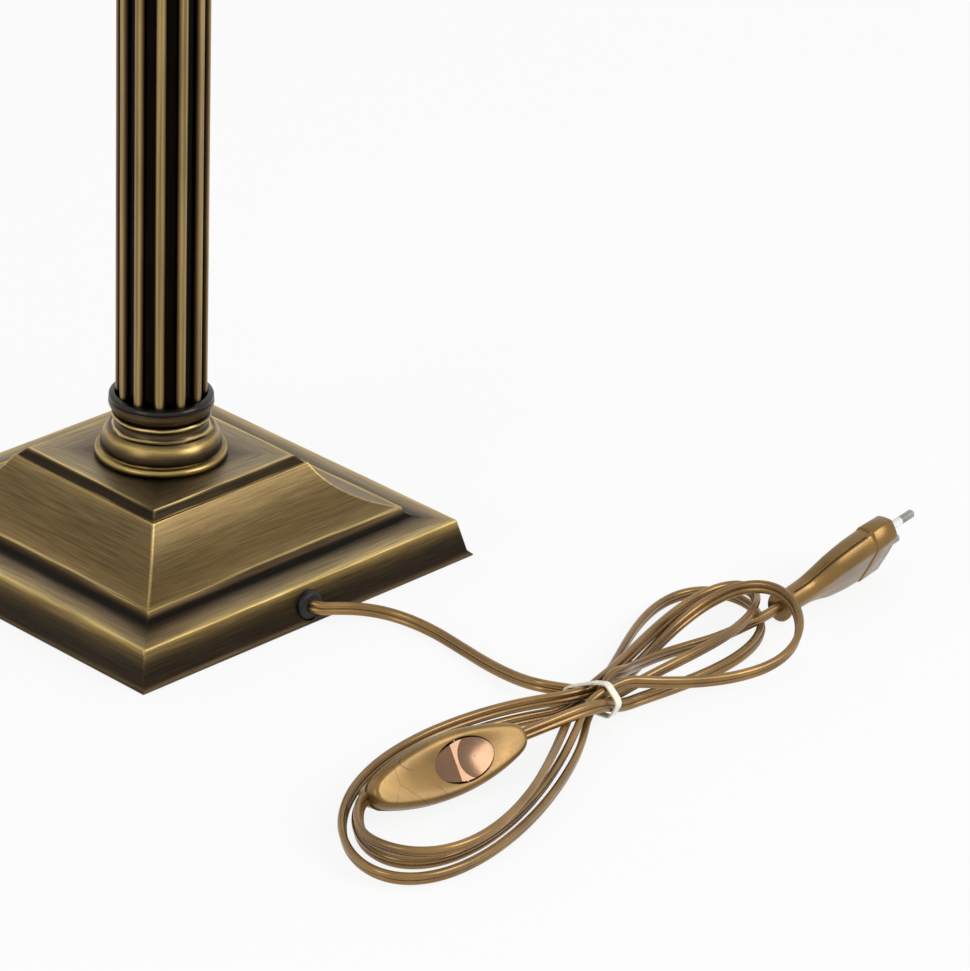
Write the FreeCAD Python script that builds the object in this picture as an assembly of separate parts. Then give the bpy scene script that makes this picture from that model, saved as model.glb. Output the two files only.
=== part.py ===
"""Column table lamp: square stepped base, turned foot, reeded column, capital,
E27 lampholder with bulb and shade, and a tied-up flat mains lead with an inline
rocker switch and a two-pin plug.  Millimetres, +Z up, origin on the table under
the middle of the base.  The lead leaves the middle of the base's +Y side."""
import math
import os
import FreeCAD
import Part
from FreeCAD import Vector as V

os.makedirs("parts", exist_ok=True)
UP = V(0, 0, 1)

# ------------------------------------------------------------------ base sizes
BASE_SIDE = 200.0          # over the lip at the foot of the plinth
FELT_PROUD = 0.4           # felt stands this far below the lip
FELT_T = 1.2
LIP_H = 2.1                # height of the protruding lip
LIP_PROUD = 1.7            # lip beyond the plinth's side
PLINTH_H = 15.8            # drafted side above the lip
PLINTH_DRAFT = 3.8         # how far the side leans in over that height
EDGE_R = 1.0               # rounded top edge of the plinth
LEDGE_W = 14.1             # sloping ledge on top of the plinth
LEDGE_RISE = 1.4
STEP_RUN = 3.8             # small riser at the foot of the pyramid
STEP_RISE = 4.2
PYRAMID_RUN = 30.0         # hollow-curved pyramid face
PYRAMID_RISE = 21.0
PYRAMID_SAG = 4.3          # how deep the face curves below its chord
PLATE_RUN = 4.0            # riser under the square top plate
PLATE_RISE = 3.6
WALL = 3.0                 # thickness of the cast base
CORNER_R = 1.2             # softened upright corners
COVER_T = 1.2              # steel bottom cover
COVER_GAP = 0.4
POST_R = 4.5               # screw posts under the ledge
POST_IN = 11.5             # post centre in from the cavity wall
SCREW_R = 1.5
SCREW_HEAD_R = 2.9
SCREW_HEAD_H = 0.9
THREAD_FIT = 0.05
WEIGHT_H = 10.5            # cast ballast slab
WEIGHT_GAP = 7.0           # ballast in from the cavity wall
WEIGHT_HOLE_R = 22.0
CORD_SLOT_W = 16.0

# ---------------------------------------------------------------- column sizes
STEM_R = 5.0               # M10 threaded tube
STEM_BORE_R = 3.9
STEM_FIT = 0.1
NUT_H = 4.0
NUT_AF = 14.0
WASHER_R = 11.0
WASHER_T = 1.5
FOOT_R = 30.0              # widest bead of the turned foot
CUP_R = 23.7               # cup that takes the column
FOOT_H = 27.6              # from the top plate to the cup's rim
RIM_H = 2.7                # dark bevelled ring on the cup
RIM_PLAY = 0.15
RIB_COUNT = 12
COLUMN_R = 20.5            # over the ribs
RIB_R = 2.65
CORE_R = 17.6              # bottom of the flutes
COLUMN_BORE_R = 15.4
SEAT_DEPTH = 6.0           # column stands this deep in the cup
COLUMN_SHOWN = 300.0       # between the two rims
ABACUS_SIDE = 68.0
ABACUS_H = 7.0
NECK_R = 17.5
NECK_H = 26.0

# ----------------------------------------------------------- holder, bulb sizes
HOLDER_R = 19.8            # outside thread for the shade ring, 40 mm ring
HOLDER_CAP_H = 17.0
HOLDER_BODY_H = 40.0
HOLDER_WALL = 1.2
SHOULDER_R = 22.6
SHOULDER_T = 2.0
RING_PITCH = 2.0
E27_R = 13.3               # bulb cap over the thread
E27_PITCH = 3.6
E27_PLAY = 0.85
SHELL_T = 0.4
BULB_R = 30.0
BULB_NECK_R = 15.0
GLASS_T = 0.9
CAP_H = 22.0
BULB_H = 105.0

# ------------------------------------------------------------------ shade sizes
SHADE_BOTTOM_R = 165.0
SHADE_TOP_R = 95.0
SHADE_H = 215.0
SHADE_T = 0.8
SHADE_WIRE_R = 1.5
FITTER_DROP = 26.0         # fitter ring above the shade's lower wire
FITTER_T = 1.2
FITTER_OUT_R = 25.5
FITTER_PLAY = 0.08
RING_PLAY = 0.08
RING_OUT_R = 23.6          # shade ring, clear of the fitter's arms
RING_H = 7.0
ARM_R = 1.3
ARM_COUNT = 3
TRIM_W = 8.0
TRIM_T = 0.6

# ------------------------------------------------------------------- cord sizes
CORD_R = 2.1               # round stand-in of a 5.2 x 3.1 mm flat twin cord
CORD_FLAT = (5.2, 3.1)
CORD_REST = 2.7            # height of the cord's middle where it lies on edge
GROMMET_R = 6.8
GROMMET_Z = 8.7
GROMMET_PROUD = 2.0
GROMMET_COLLAR = 1.2
SWITCH_L = 86.0
SWITCH_W = 27.0
SWITCH_END_W = 13.0
SWITCH_H = 17.5
SWITCH_TAPER = 4.6         # underside drawn in by this much all round
SWITCH_FACE = V(65.0, 252.2, 17.2)   # middle of its top face
SWITCH_LEAN = 57.0         # it lies on one long edge
SWITCH_CORD_D = 6.6        # the lead enters this far below the top face
SWITCH_SPLIT = 6.6
SWITCH_WALL = 1.6
SWITCH_SCREW_X = 30.0
ROCKER_X = 6.4             # the rocker sits off centre, towards the tie
ROCKER_A = 15.1
ROCKER_B = 8.6
ROCKER_GAP = 0.6
ROCKER_RIDGE = 5.5
ROCKER_PIVOT = 3.4         # pivot below the top face
ROCKER_PIN_R = 1.0
ROCKER_ARM_Y = 9.3         # cradle arms beside the rocker
ROCKER_ARM_T = 0.9
PLUG_FACE_W = 35.3
PLUG_FACE_T = 13.7
PLUG_L = 68.0
PLUG_PIN_R = 2.0
PLUG_PIN_L = 19.0
PLUG_SLEEVE_L = 10.0
PLUG_PIN_GAP = 18.6
PLUG_FLANGE_T = 2.4
PLUG_REAR = V(-154.0, 236.4, 8.6)    # middle of the finger flange's back
PLUG_PITCH = 7.6           # nose up
PLUG_YAW = 1.2             # nose turned towards the base
PLUG_LEAN = -61.0          # it lies on one long edge

# ------------------------------------------------------------------- hank sizes
TIE_AT = V(-31.0, 241.0, 0)
TIE_HALF = 10.0            # the strands run straight this far each side
TIE_W = 3.2
TIE_T = 0.8
TIE_GAP = 1.0              # slanting strands need a little more room than upright ones
LOOP_SPANS = 8
LOOP_FALL = 0.75
# each pass through the tie: offset and height at its +X end, then at its -X end
PASS_LEAD = (-10.4, 3.6, -10.4, 3.6)
PASS_A = (12.8, 15.3, 6.2, 3.9)
PASS_B = (-3.0, 5.7, 2.4, 7.2)
PASS_C = (-7.4, 3.1, -7.4, 10.1)
PASS_D = (5.4, 12.9, 7.4, 16.6)
PASS_E = (-5.1, 11.2, -2.0, 10.1)
PASS_PLUG = (6.0, 5.4, -1.0, 16.9)
# loops: side, reach, spread, waist, lean, bow, skew, resting height on the way
# out and back, rise over a crossing, its place along the loop and its width
LOOP_RIGHT_1 = (-1, 118.0, -33.0, 1.68, -0.155, -0.107, 0.03, 2.8, 2.6, 0.0, 0.5, 0.1)
LOOP_SWITCH = (1, 150.4, -57.3, 1.14, 0.14, -0.033, 0.369, 12.4, 13.9, 0.0, 0.5, 0.1)
LOOP_RIGHT_2 = (-1, 113.8, 18.5, 1.27, -0.076, -0.113, 0.08, 14, 8.2, 0, 0.5, 0.1)
LOOP_LEFT_2 = (1, 146.6, -36.8, 0.97, 0.052, 0.159, -0.082, 3.5, 3.3, 0.0, 0.5, 0.1)
LOOP_RIGHT_3 = (-1, 102.0, 34.0, 1.58, -0.151, 0.235, -0.596, 10.7, -1.7, 18.2, 0.563, 0.16)
LOOP_LEFT_3 = (1, 159.4, -41.8, 0.69, 0.048, 0.175, -0.01, 8.5, 1.7, 0.0, 0.5, 0.1)
# corners of the lead's route from the grommet towards the tie
LEAD = [V(0, 95.0, GROMMET_Z), V(0, 102.0, GROMMET_Z), V(-8.0, 106.8, 8.0), V(-17.0, 111.8, 6.6),
        V(-25.0, 119.5, 4.9), V(-29.8, 130.5, 3.6), V(-31.3, 145.0, 2.9), V(-29.6, 162.0, 2.7),
        V(-26.6, 182.0, 3.2), V(-24.2, 201.0, 5.0), V(-23.4, 217.5, 8.0)]
# corners of the last run, from the tie to the plug
PLUG_RUN = [V(-53.0, 238.0, 13.2), V(-64.0, 232.0, 8.6), V(-75.0, 228.6, 5.8), V(-87.5, 226.6, 3.9),
            V(-103.0, 227.6, 2.8), V(-119.5, 231.6, 3.2), V(-132.5, 236.2, 6.7), V(-145.08, 236.59, 7.41)]

# --------------------------------------------------------------------- helpers
def save(name, shape):
    shape.exportStep("parts/%s.step" % name)
    print("%-22s volume %11.1f  faces %3d" % (name, shape.Volume, len(shape.Faces)))


def line(a, b):
    return Part.makeLine(a, b)


def arc(a, m, b):
    return Part.Arc(a, m, b).toShape()


def outline(points, plane):
    """Closed face from (p, q) points; a point of four numbers (mp, mq, p, q)
    is an arc through its first pair."""
    edges = []
    here = plane(*points[0][-2:])
    first = here
    for item in points[1:] + [points[0]]:
        nxt = plane(*item[-2:])
        if len(item) == 4:
            edges.append(arc(here, plane(*item[:2]), nxt))
        elif here.distanceToPoint(nxt) > 1e-6:
            edges.append(line(here, nxt))
        here = nxt
    assert here.distanceToPoint(first) < 1e-6
    return Part.Face(Part.Wire(edges))


def lathe(points, centre=V(0, 0, 0)):
    """Solid of revolution about +Z from (radius, height) points."""
    face = outline(points, lambda r, z: centre + V(r, 0, z))
    return face.revolve(centre, UP, 360)


def cylinder(r, h, at=V(0, 0, 0), axis=UP):
    return Part.makeCylinder(r, h, at, axis)


def tube(r, bore, h, at=V(0, 0, 0), axis=UP):
    return cylinder(r, h, at, axis).cut(cylinder(bore, h, at, axis))


def square_block(half, z0, z1):
    return Part.makeBox(2 * half, 2 * half, z1 - z0, V(-half, -half, z0))


def square_form(points):
    """Four-sided form with mitred corners from a (half width, height) outline:
    the same moulding run along X and along Y, kept where both agree."""
    mirrored = [tuple(-v if k % 2 == 0 else v for k, v in enumerate(p)) for p in points]
    back = []
    for k in range(len(mirrored) - 1, -1, -1):
        end = mirrored[k][-2:]
        mid = mirrored[k + 1][:2] if k + 1 < len(points) and len(points[k + 1]) == 4 else ()
        back.append(mid + end)
    closed = list(points) + back
    size = max(p[-2] for p in points)
    along_y = outline(closed, lambda p, z: V(p, -size, z)).extrude(V(0, 2 * size, 0))
    along_x = outline(closed, lambda p, z: V(-size, p, z)).extrude(V(2 * size, 0, 0))
    return along_x.common(along_y)


def chord_arc(a, b, sag):
    """Middle point of an arc from a to b that bulges sag to the right of a->b."""
    dp, dq = b[0] - a[0], b[1] - a[1]
    run = math.hypot(dp, dq)
    return ((a[0] + b[0]) / 2 + dq / run * sag, (a[1] + b[1]) / 2 - dp / run * sag)


def hexagon(across, h, z, bore):
    r = across / 2 / math.cos(math.pi / 6)
    pts = [V(r * math.cos(k * math.pi / 3), r * math.sin(k * math.pi / 3), z) for k in range(7)]
    return Part.Face(Part.makePolygon(pts)).extrude(V(0, 0, h)).cut(cylinder(bore, h, V(0, 0, z)))


# ------------------------------------------------------------------------ base
LIP_Z = FELT_PROUD
LIP_HALF = BASE_SIDE / 2
SIDE_HALF = LIP_HALF - LIP_PROUD
SIDE_Z = LIP_Z + LIP_H
TOP_HALF = SIDE_HALF - PLINTH_DRAFT
TOP_Z = SIDE_Z + PLINTH_H
LEDGE_HALF = TOP_HALF - LEDGE_W
LEDGE_Z = TOP_Z + LEDGE_RISE
STEP_HALF = LEDGE_HALF - STEP_RUN
STEP_Z = LEDGE_Z + STEP_RISE
PYRAMID_HALF = STEP_HALF - PYRAMID_RUN
PYRAMID_Z = STEP_Z + PYRAMID_RISE
PLATE_HALF = PYRAMID_HALF - PLATE_RUN
PLATE_Z = PYRAMID_Z + PLATE_RISE            # top of the square plate
CAVITY_HALF = TOP_HALF - WALL
CAVITY_Z = TOP_Z - WALL                     # underside of the ledge
COVER_HALF = CAVITY_HALF - COVER_GAP
COVER_Z = FELT_T                            # felt fills up to here
POST_AT = CAVITY_HALF - POST_IN
POSTS = [(sx * POST_AT, sy * POST_AT) for sx in (-1, 1) for sy in (-1, 1)]
ROOF_Z = PLATE_Z - WALL                     # underside of the top plate


def make_base_casting():
    step_mid = chord_arc((LEDGE_HALF, LEDGE_Z), (STEP_HALF, STEP_Z), -0.9)
    face_mid = chord_arc((STEP_HALF - 1.0, STEP_Z), (PYRAMID_HALF, PYRAMID_Z), -PYRAMID_SAG)
    edge = EDGE_R * 0.7
    outer = square_form([
        (LIP_HALF - 0.5, LIP_Z),
        (LIP_HALF, LIP_Z + 0.7),
        (SIDE_HALF + 0.2, SIDE_Z),
        (SIDE_HALF, SIDE_Z + 0.2),
        (TOP_HALF + 0.2, TOP_Z - EDGE_R),
        (TOP_HALF - 0.2, TOP_Z - 0.3, TOP_HALF - edge, TOP_Z),
        (LEDGE_HALF, LEDGE_Z),
        step_mid + (STEP_HALF, STEP_Z),
        (STEP_HALF - 1.0, STEP_Z),
        face_mid + (PYRAMID_HALF, PYRAMID_Z),
        (PYRAMID_HALF - 1.2, PYRAMID_Z),
        (PLATE_HALF, PLATE_Z - 0.6),
        (PLATE_HALF - 0.6, PLATE_Z)])
    uprights = [e for e in outer.Edges
                if e.BoundBox.ZMin > SIDE_Z - 0.1 and e.BoundBox.ZMax < TOP_Z
                and e.BoundBox.ZLength > PLINTH_H - EDGE_R - 1]
    outer = outer.makeFillet(CORNER_R, uprights)
    inner_mid = chord_arc((STEP_HALF - WALL - 1, STEP_Z - WALL),
                          (PYRAMID_HALF - WALL, PYRAMID_Z - WALL), -PYRAMID_SAG)
    inner = square_form([
        (CAVITY_HALF, LIP_Z - 1),
        (CAVITY_HALF, CAVITY_Z),
        (STEP_HALF - WALL, CAVITY_Z),
        (STEP_HALF - WALL - 1, STEP_Z - WALL),
        inner_mid + (PYRAMID_HALF - WALL, PYRAMID_Z - WALL),
        (PLATE_HALF - WALL, ROOF_Z)])
    shell = outer.cut(inner)
    for x, y in POSTS:
        z0 = COVER_Z + COVER_T
        post = cylinder(POST_R, CAVITY_Z + 0.5 - z0, V(x, y, z0))
        hole = cylinder(SCREW_R + THREAD_FIT, CAVITY_Z - 1.5 - z0, V(x, y, z0))
        shell = shell.fuse(post).cut(hole)
    shell = shell.cut(cylinder(STEM_R + STEM_FIT, WALL + 4, V(0, 0, ROOF_Z - 2)))
    shell = shell.cut(cylinder(GROMMET_R - GROMMET_COLLAR, 2 * WALL + LIP_PROUD + 8,
                               V(0, CAVITY_HALF - 3, GROMMET_Z), V(0, 1, 0)))
    shell = shell.cut(cylinder(GROMMET_R, 12.0, V(0, GROMMET_SEAT, GROMMET_Z), V(0, 1, 0)))
    return shell.removeSplitter()


def make_cover():
    cover = square_block(COVER_HALF, COVER_Z, COVER_Z + COVER_T)
    for x, y in POSTS:
        cover = cover.cut(cylinder(SCREW_R + 0.3, COVER_T, V(x, y, COVER_Z)))
    return cover


def make_felt():
    felt = square_block(COVER_HALF - 2, 0, FELT_T)
    for x, y in POSTS:
        felt = felt.cut(cylinder(SCREW_HEAD_R + 1.0, FELT_T, V(x, y, 0)))
    return felt


def make_cover_screw(x, y):
    head = cylinder(SCREW_HEAD_R, SCREW_HEAD_H, V(x, y, COVER_Z - SCREW_HEAD_H))
    shank = cylinder(SCREW_R, COVER_T + 8, V(x, y, COVER_Z))
    slot = Part.makeBox(2 * SCREW_HEAD_R, 0.7, 0.5,
                        V(x - SCREW_HEAD_R, y - 0.35, COVER_Z - SCREW_HEAD_H))
    return head.fuse(shank).cut(slot).removeSplitter()


def make_weight():
    """Ballast slab on the cover, with its corners cut back from the posts and
    a channel for the lead."""
    half = CAVITY_HALF - WEIGHT_GAP
    z0 = COVER_Z + COVER_T
    slab = square_block(half, z0, z0 + WEIGHT_H)
    for x, y in POSTS:
        cut = POST_R + 2.0
        sx, sy = math.copysign(1, x), math.copysign(1, y)
        a, b = sorted((x - sx * cut, sx * (half + 1)))
        c, d = sorted((y - sy * cut, sy * (half + 1)))
        slab = slab.cut(Part.makeBox(b - a, d - c, WEIGHT_H, V(a, c, z0)))
    slab = slab.cut(cylinder(WEIGHT_HOLE_R, WEIGHT_H, V(0, 0, z0)))
    return slab.cut(Part.makeBox(CORD_SLOT_W, half + 1, WEIGHT_H, V(-CORD_SLOT_W / 2, 0, z0)))


def side_at(z):
    """Half width of the drafted plinth side at height z."""
    return SIDE_HALF - PLINTH_DRAFT * (z - SIDE_Z) / PLINTH_H


GROMMET_SEAT = side_at(GROMMET_Z + GROMMET_R) - 0.05     # flat recess in the drafted side
GROMMET_FACE = side_at(GROMMET_Z) + 0.35 + GROMMET_PROUD


def make_grommet():
    """Rubber grommet: outer collar, neck through the wall, inner collar."""
    inside = CAVITY_HALF - 0.05
    bore = CORD_R + 0.05
    neck = GROMMET_R - GROMMET_COLLAR - 0.05
    round_r = 1.8
    body = outline([
        (bore, inside - 1.8), (GROMMET_R - 0.8, inside - 1.8), (GROMMET_R - 0.8, inside),
        (neck, inside), (neck, GROMMET_SEAT), (GROMMET_R, GROMMET_SEAT),
        (GROMMET_R, GROMMET_FACE - round_r),
        (GROMMET_R - round_r * 0.29, GROMMET_FACE - round_r * 0.29, GROMMET_R - round_r, GROMMET_FACE),
        (bore + 0.8, GROMMET_FACE), (bore, GROMMET_FACE - 0.8)],
        lambda r, y: V(r, y, GROMMET_Z))
    return body.revolve(V(0, 0, GROMMET_Z), V(0, 1, 0), 360)


CLAMP_Y = CAVITY_HALF - 12.0
CLAMP_Z = COVER_Z + COVER_T


def make_clamp():
    """Strain relief: saddle on the cover that grips the lead behind the grommet."""
    w, d = CORD_SLOT_W - 4, 7.0
    top = GROMMET_Z + CORD_R + 1.6
    block = Part.makeBox(w, d, top - CLAMP_Z, V(-w / 2, CLAMP_Y - d / 2, CLAMP_Z))
    return block.cut(cylinder(CORD_R + 0.1, d, V(0, CLAMP_Y - d / 2, GROMMET_Z), V(0, 1, 0)))


# ---------------------------------------------------------------------- column
def turned_profile(z, up):
    """Outline of the turned foot from its flat face z towards the column, as
    (radius, height) points; up is +1 for the foot and -1 for the capital."""
    def at(*values):
        return tuple(v if k % 2 == 0 else z + up * v for k, v in enumerate(values))
    waist = CUP_R - 2.9
    return [at(FOOT_R - 1.3, 0), at(FOOT_R, 2.0, FOOT_R - 1.0, 3.8), at(FOOT_R - 2.6, 4.2),
            at(FOOT_R - 2.8, 5.0), at(FOOT_R - 3.2, 8.6, FOOT_R - 5.4, 12.4),
            at(FOOT_R - 6.4, 13.6), at(waist - 0.2, 15.6, waist - 0.2, 18.2),
            at(waist + 1.2, 18.8), at(waist + 1.5, 19.8, waist + 1.0, 20.8),
            at(waist, 21.2), at(CUP_R - 1.4, 22.6, CUP_R - 0.2, 24.6),
            at(CUP_R, 26.0, CUP_R - 0.3, FOOT_H)]


FOOT_TOP = PLATE_Z + FOOT_H
RIM_TOP = FOOT_TOP + RIM_H
COLUMN_Z0 = FOOT_TOP - SEAT_DEPTH
COLUMN_Z1 = RIM_TOP + COLUMN_SHOWN + RIM_H + SEAT_DEPTH
CAP_TOP = RIM_TOP + COLUMN_SHOWN + RIM_H + FOOT_H
SOCKET_R = COLUMN_R + RIM_PLAY


def make_foot():
    body = lathe(turned_profile(PLATE_Z, 1) + [(0, FOOT_TOP), (0, PLATE_Z)])
    body = body.cut(cylinder(SOCKET_R, SEAT_DEPTH, V(0, 0, COLUMN_Z0)))
    return body.cut(cylinder(STEM_R + STEM_FIT, FOOT_H, V(0, 0, PLATE_Z)))


def make_capital():
    body = lathe(turned_profile(CAP_TOP, -1) + [(0, CAP_TOP - FOOT_H), (0, CAP_TOP)])
    body = body.cut(cylinder(SOCKET_R, SEAT_DEPTH, V(0, 0, CAP_TOP - FOOT_H)))
    return body.cut(cylinder(STEM_R + STEM_FIT, FOOT_H, V(0, 0, CAP_TOP - FOOT_H)))


def make_rim(z, up):
    """Dark bevelled ring that closes the cup around the ribs."""
    r = CUP_R - 0.4
    return lathe([(SOCKET_R, z), (r, z), (r + 0.1, z + up * RIM_H * 0.55, r - 1.2, z + up * RIM_H * 0.9),
                  (SOCKET_R + 0.3, z + up * RIM_H), (SOCKET_R, z + up * (RIM_H - 0.3))])


def make_column():
    """Reeded tube: round ribs on a core, drawn as one section."""
    centre = COLUMN_R - RIB_R
    cos_meet = (centre ** 2 + CORE_R ** 2 - RIB_R ** 2) / (2 * centre * CORE_R)
    half = math.acos(cos_meet)
    step = 2 * math.pi / RIB_COUNT

    def polar(r, a):
        return V(r * math.cos(a), r * math.sin(a), COLUMN_Z0)
    edges = []
    for k in range(RIB_COUNT):
        a = math.pi / 4 + k * step
        edges.append(arc(polar(CORE_R, a - half), polar(COLUMN_R, a), polar(CORE_R, a + half)))
        edges.append(arc(polar(CORE_R, a + half), polar(CORE_R, a + step / 2),
                         polar(CORE_R, a + step - half)))
    section = Part.Face(Part.Wire(edges))
    body = section.extrude(V(0, 0, COLUMN_Z1 - COLUMN_Z0))
    return body.cut(cylinder(COLUMN_BORE_R, COLUMN_Z1 - COLUMN_Z0, V(0, 0, COLUMN_Z0)))


ABACUS_Z = CAP_TOP
NECK_Z = ABACUS_Z + ABACUS_H
HOLDER_Z = NECK_Z + NECK_H


def make_abacus():
    """Square cap plate with a hollow moulding under its edge."""
    half = ABACUS_SIDE / 2
    z = ABACUS_Z
    form = square_form([(half - 4.0, z), (half - 3.4, z + 2.2, half - 1.0, z + 3.2),
                        (half, z + 3.2), (half, z + ABACUS_H - 0.8),
                        (half - 0.8, z + ABACUS_H)])
    return form.cut(cylinder(STEM_R + STEM_FIT, ABACUS_H, V(0, 0, z)))


def make_neck():
    """Turned neck between the cap plate and the lampholder."""
    z, r = NECK_Z, NECK_R
    body = lathe([(0, z), (r + 4, z), (r + 5.4, z + 1.6, r + 4, z + 3.2), (r + 1, z + 3.6),
                  (r - 7.0, z + 9.0, r - 8.0, z + 15.0), (r - 7.0, z + 15.6),
                  (r - 5.8, z + 16.6, r - 7.0, z + 17.6), (r - 7.4, z + 18.2),
                  (r - 4.6, z + 21.6, r - 1.5, z + NECK_H), (0, z + NECK_H)])
    return body.cut(cylinder(STEM_R + STEM_FIT, NECK_H, V(0, 0, z)))


STEM_Z0 = ROOF_Z - WASHER_T - NUT_H - 4.0
STEM_Z1 = HOLDER_Z + 9.0


def make_stem():
    return tube(STEM_R, STEM_BORE_R, STEM_Z1 - STEM_Z0, V(0, 0, STEM_Z0))


# ------------------------------------------------------------------ lampholder
CAP_Z1 = HOLDER_Z + HOLDER_CAP_H
BODY_Z1 = CAP_Z1 + HOLDER_BODY_H
SHOULDER_Z = CAP_Z1 + 3.0
SHELL_Z0 = BODY_Z1 - CAP_H - 3.0


def make_holder_cap():
    r = HOLDER_R
    body = lathe([(0, HOLDER_Z), (r - 5, HOLDER_Z), (r - 1.2, HOLDER_Z + 3.4, r, HOLDER_Z + 9),
                  (r, CAP_Z1), (0, CAP_Z1)])
    room = lathe([(0, HOLDER_Z + 5), (r - 6, HOLDER_Z + 5), (r - 2.2, HOLDER_Z + 9),
                  (r - 1.5, CAP_Z1), (0, CAP_Z1)])
    return body.cut(room).cut(cylinder(STEM_R + STEM_FIT, 6, V(0, 0, HOLDER_Z)))


def make_stem_nut():
    return hexagon(12.0, 2.5, HOLDER_Z + 5, STEM_R + 0.05)


def make_holder_body():
    """Outer shell: shoulder for the shade's fitter and a thread above it."""
    pts = [(HOLDER_R, CAP_Z1), (HOLDER_R, SHOULDER_Z), (SHOULDER_R, SHOULDER_Z),
           (SHOULDER_R, SHOULDER_Z + SHOULDER_T), (HOLDER_R - 0.6, SHOULDER_Z + SHOULDER_T)]
    z = SHOULDER_Z + SHOULDER_T + 1.0
    while z + RING_PITCH < BODY_Z1 - 1.5:
        pts += [(HOLDER_R - 0.6, z), (HOLDER_R, z + RING_PITCH * 0.5), (HOLDER_R - 0.6, z + RING_PITCH)]
        z += RING_PITCH
    bore = HOLDER_R - 0.6 - HOLDER_WALL
    pts += [(HOLDER_R - 0.6, BODY_Z1 - 0.4), (HOLDER_R - 1.0, BODY_Z1), (bore, BODY_Z1), (bore, CAP_Z1)]
    return lathe(pts)


def screw_wall(r, z0, z1, grow, flip=1):
    """Rounded E27 thread as a row of rings, as (radius, height) points."""
    pts = [(r - 0.6 + grow, z0)]
    z = z0 + 1.0
    while z + E27_PITCH <= z1 - 0.5:
        pts += [(r - 0.6 + grow, z), (r + 0.1 + grow, z + E27_PITCH / 2, r - 0.6 + grow, z + E27_PITCH)]
        z += E27_PITCH
    return pts + [(r - 0.6 + grow, z1)]


def make_screw_shell():
    outer = screw_wall(E27_R + E27_PLAY, SHELL_Z0, BODY_Z1 - 2, SHELL_T)
    inner = screw_wall(E27_R + E27_PLAY, SHELL_Z0, BODY_Z1 - 2, 0)
    solid = lathe([(0, SHELL_Z0)] + outer + [(0, BODY_Z1 - 2)])
    return solid.cut(lathe([(0, SHELL_Z0)] + inner + [(0, BODY_Z1 - 2)]))


def make_insert():
    """Ceramic block under the screw shell, carrying the contacts."""
    r = HOLDER_R - 0.6 - HOLDER_WALL - 0.1
    z0, z1 = SHELL_Z0 - 9.0, SHELL_Z0
    block = cylinder(r, z1 - z0, V(0, 0, z0))
    rim = tube(r, E27_R + E27_PLAY + SHELL_T + 0.3, BODY_Z1 - 2.5 - z1, V(0, 0, z1))
    for side in (-1, 1):
        block = block.cut(cylinder(2.0, 5.0, V(side * 10.0, 0, z0)))
    return block.fuse(rim).removeSplitter()


def make_centre_contact():
    """Spring tongue that meets the bulb's tip."""
    z = SHELL_Z0
    return outline([(-7, z), (-7, z + 0.5), (-2, z + 0.5), (1.2, z + 2.2), (4.4, z + 2.2),
                    (4.4, z + 1.8), (1.4, z + 1.8), (-1.7, z)],
                   lambda x, zz: V(x, -2.5, zz)).extrude(V(0, 5, 0))


def make_terminal(side):
    return cylinder(1.8, 4.0, V(side * 10.0, 0, SHELL_Z0 - 9.0 + 0.9))


# ------------------------------------------------------------------------ bulb
BULB_Z = SHELL_Z0 + 2.3                      # tip of the bulb on the tongue


def make_bulb_cap():
    z = BULB_Z + 3.0
    wall = screw_wall(E27_R, z + 1.5, z + CAP_H - 3, 0)
    top = BULB_Z + CAP_H
    solid = lathe([(0, z), (E27_R - 4, z)] + wall + [(E27_R - 0.6, top), (0, top)])
    bore = lathe([(0, z + 1.4), (E27_R - 4.4, z + 1.4), (E27_R - 1.2, z + 3.0),
                  (E27_R - 1.2, top), (0, top)])
    return solid.cut(bore).cut(cylinder(6.2, 3, V(0, 0, z - 1)))


def make_bulb_insulator():
    z = BULB_Z + 0.8
    return lathe([(0, z), (3.0, z), (6.0, z + 2.2), (6.0, z + 3.6), (0, z + 3.6)])


def make_bulb_contact():
    return lathe([(0, BULB_Z), (2.4, BULB_Z), (3.4, BULB_Z + 0.8), (0, BULB_Z + 0.8)])


def bulb_form(shrink):
    z0 = BULB_Z + CAP_H - 3.0
    top = BULB_Z + BULB_H - shrink
    ball = BULB_R - shrink
    centre = top - ball
    neck = E27_R - 1.3 - shrink
    shoulder = V(ball * math.cos(math.radians(-38)), 0, centre + ball * math.sin(math.radians(-38)))
    return lathe([(0, z0 + shrink), (neck, z0 + shrink), (neck, z0 + 4.0),
                  (BULB_NECK_R - shrink + 1.0, z0 + 18.0, shoulder.x, shoulder.z),
                  (ball, centre, ball * math.cos(math.radians(50)),
                   centre + ball * math.sin(math.radians(50))),
                  (ball * math.cos(math.radians(72)), centre + ball * math.sin(math.radians(72)), 0, top)])


def make_bulb_glass():
    return bulb_form(0).cut(bulb_form(GLASS_T))


# ----------------------------------------------------------------------- shade
FITTER_Z = SHOULDER_Z + SHOULDER_T
SHADE_Z0 = FITTER_Z + FITTER_T / 2 - FITTER_DROP
SHADE_Z1 = SHADE_Z0 + SHADE_H


def shade_r(z):
    return SHADE_BOTTOM_R + (SHADE_TOP_R - SHADE_BOTTOM_R) * (z - SHADE_Z0) / SHADE_H


def make_shade_skin():
    t = SHADE_T
    return lathe([(SHADE_BOTTOM_R, SHADE_Z0), (SHADE_BOTTOM_R + t, SHADE_Z0),
                  (SHADE_TOP_R + t, SHADE_Z1), (SHADE_TOP_R, SHADE_Z1)])


def make_shade_wire(z, lift):
    slope = math.atan((SHADE_BOTTOM_R - SHADE_TOP_R) / SHADE_H)
    r = shade_r(z + lift) - (SHADE_WIRE_R + 0.05) / math.cos(slope)
    return Part.makeTorus(r, SHADE_WIRE_R, V(0, 0, z + lift))


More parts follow.
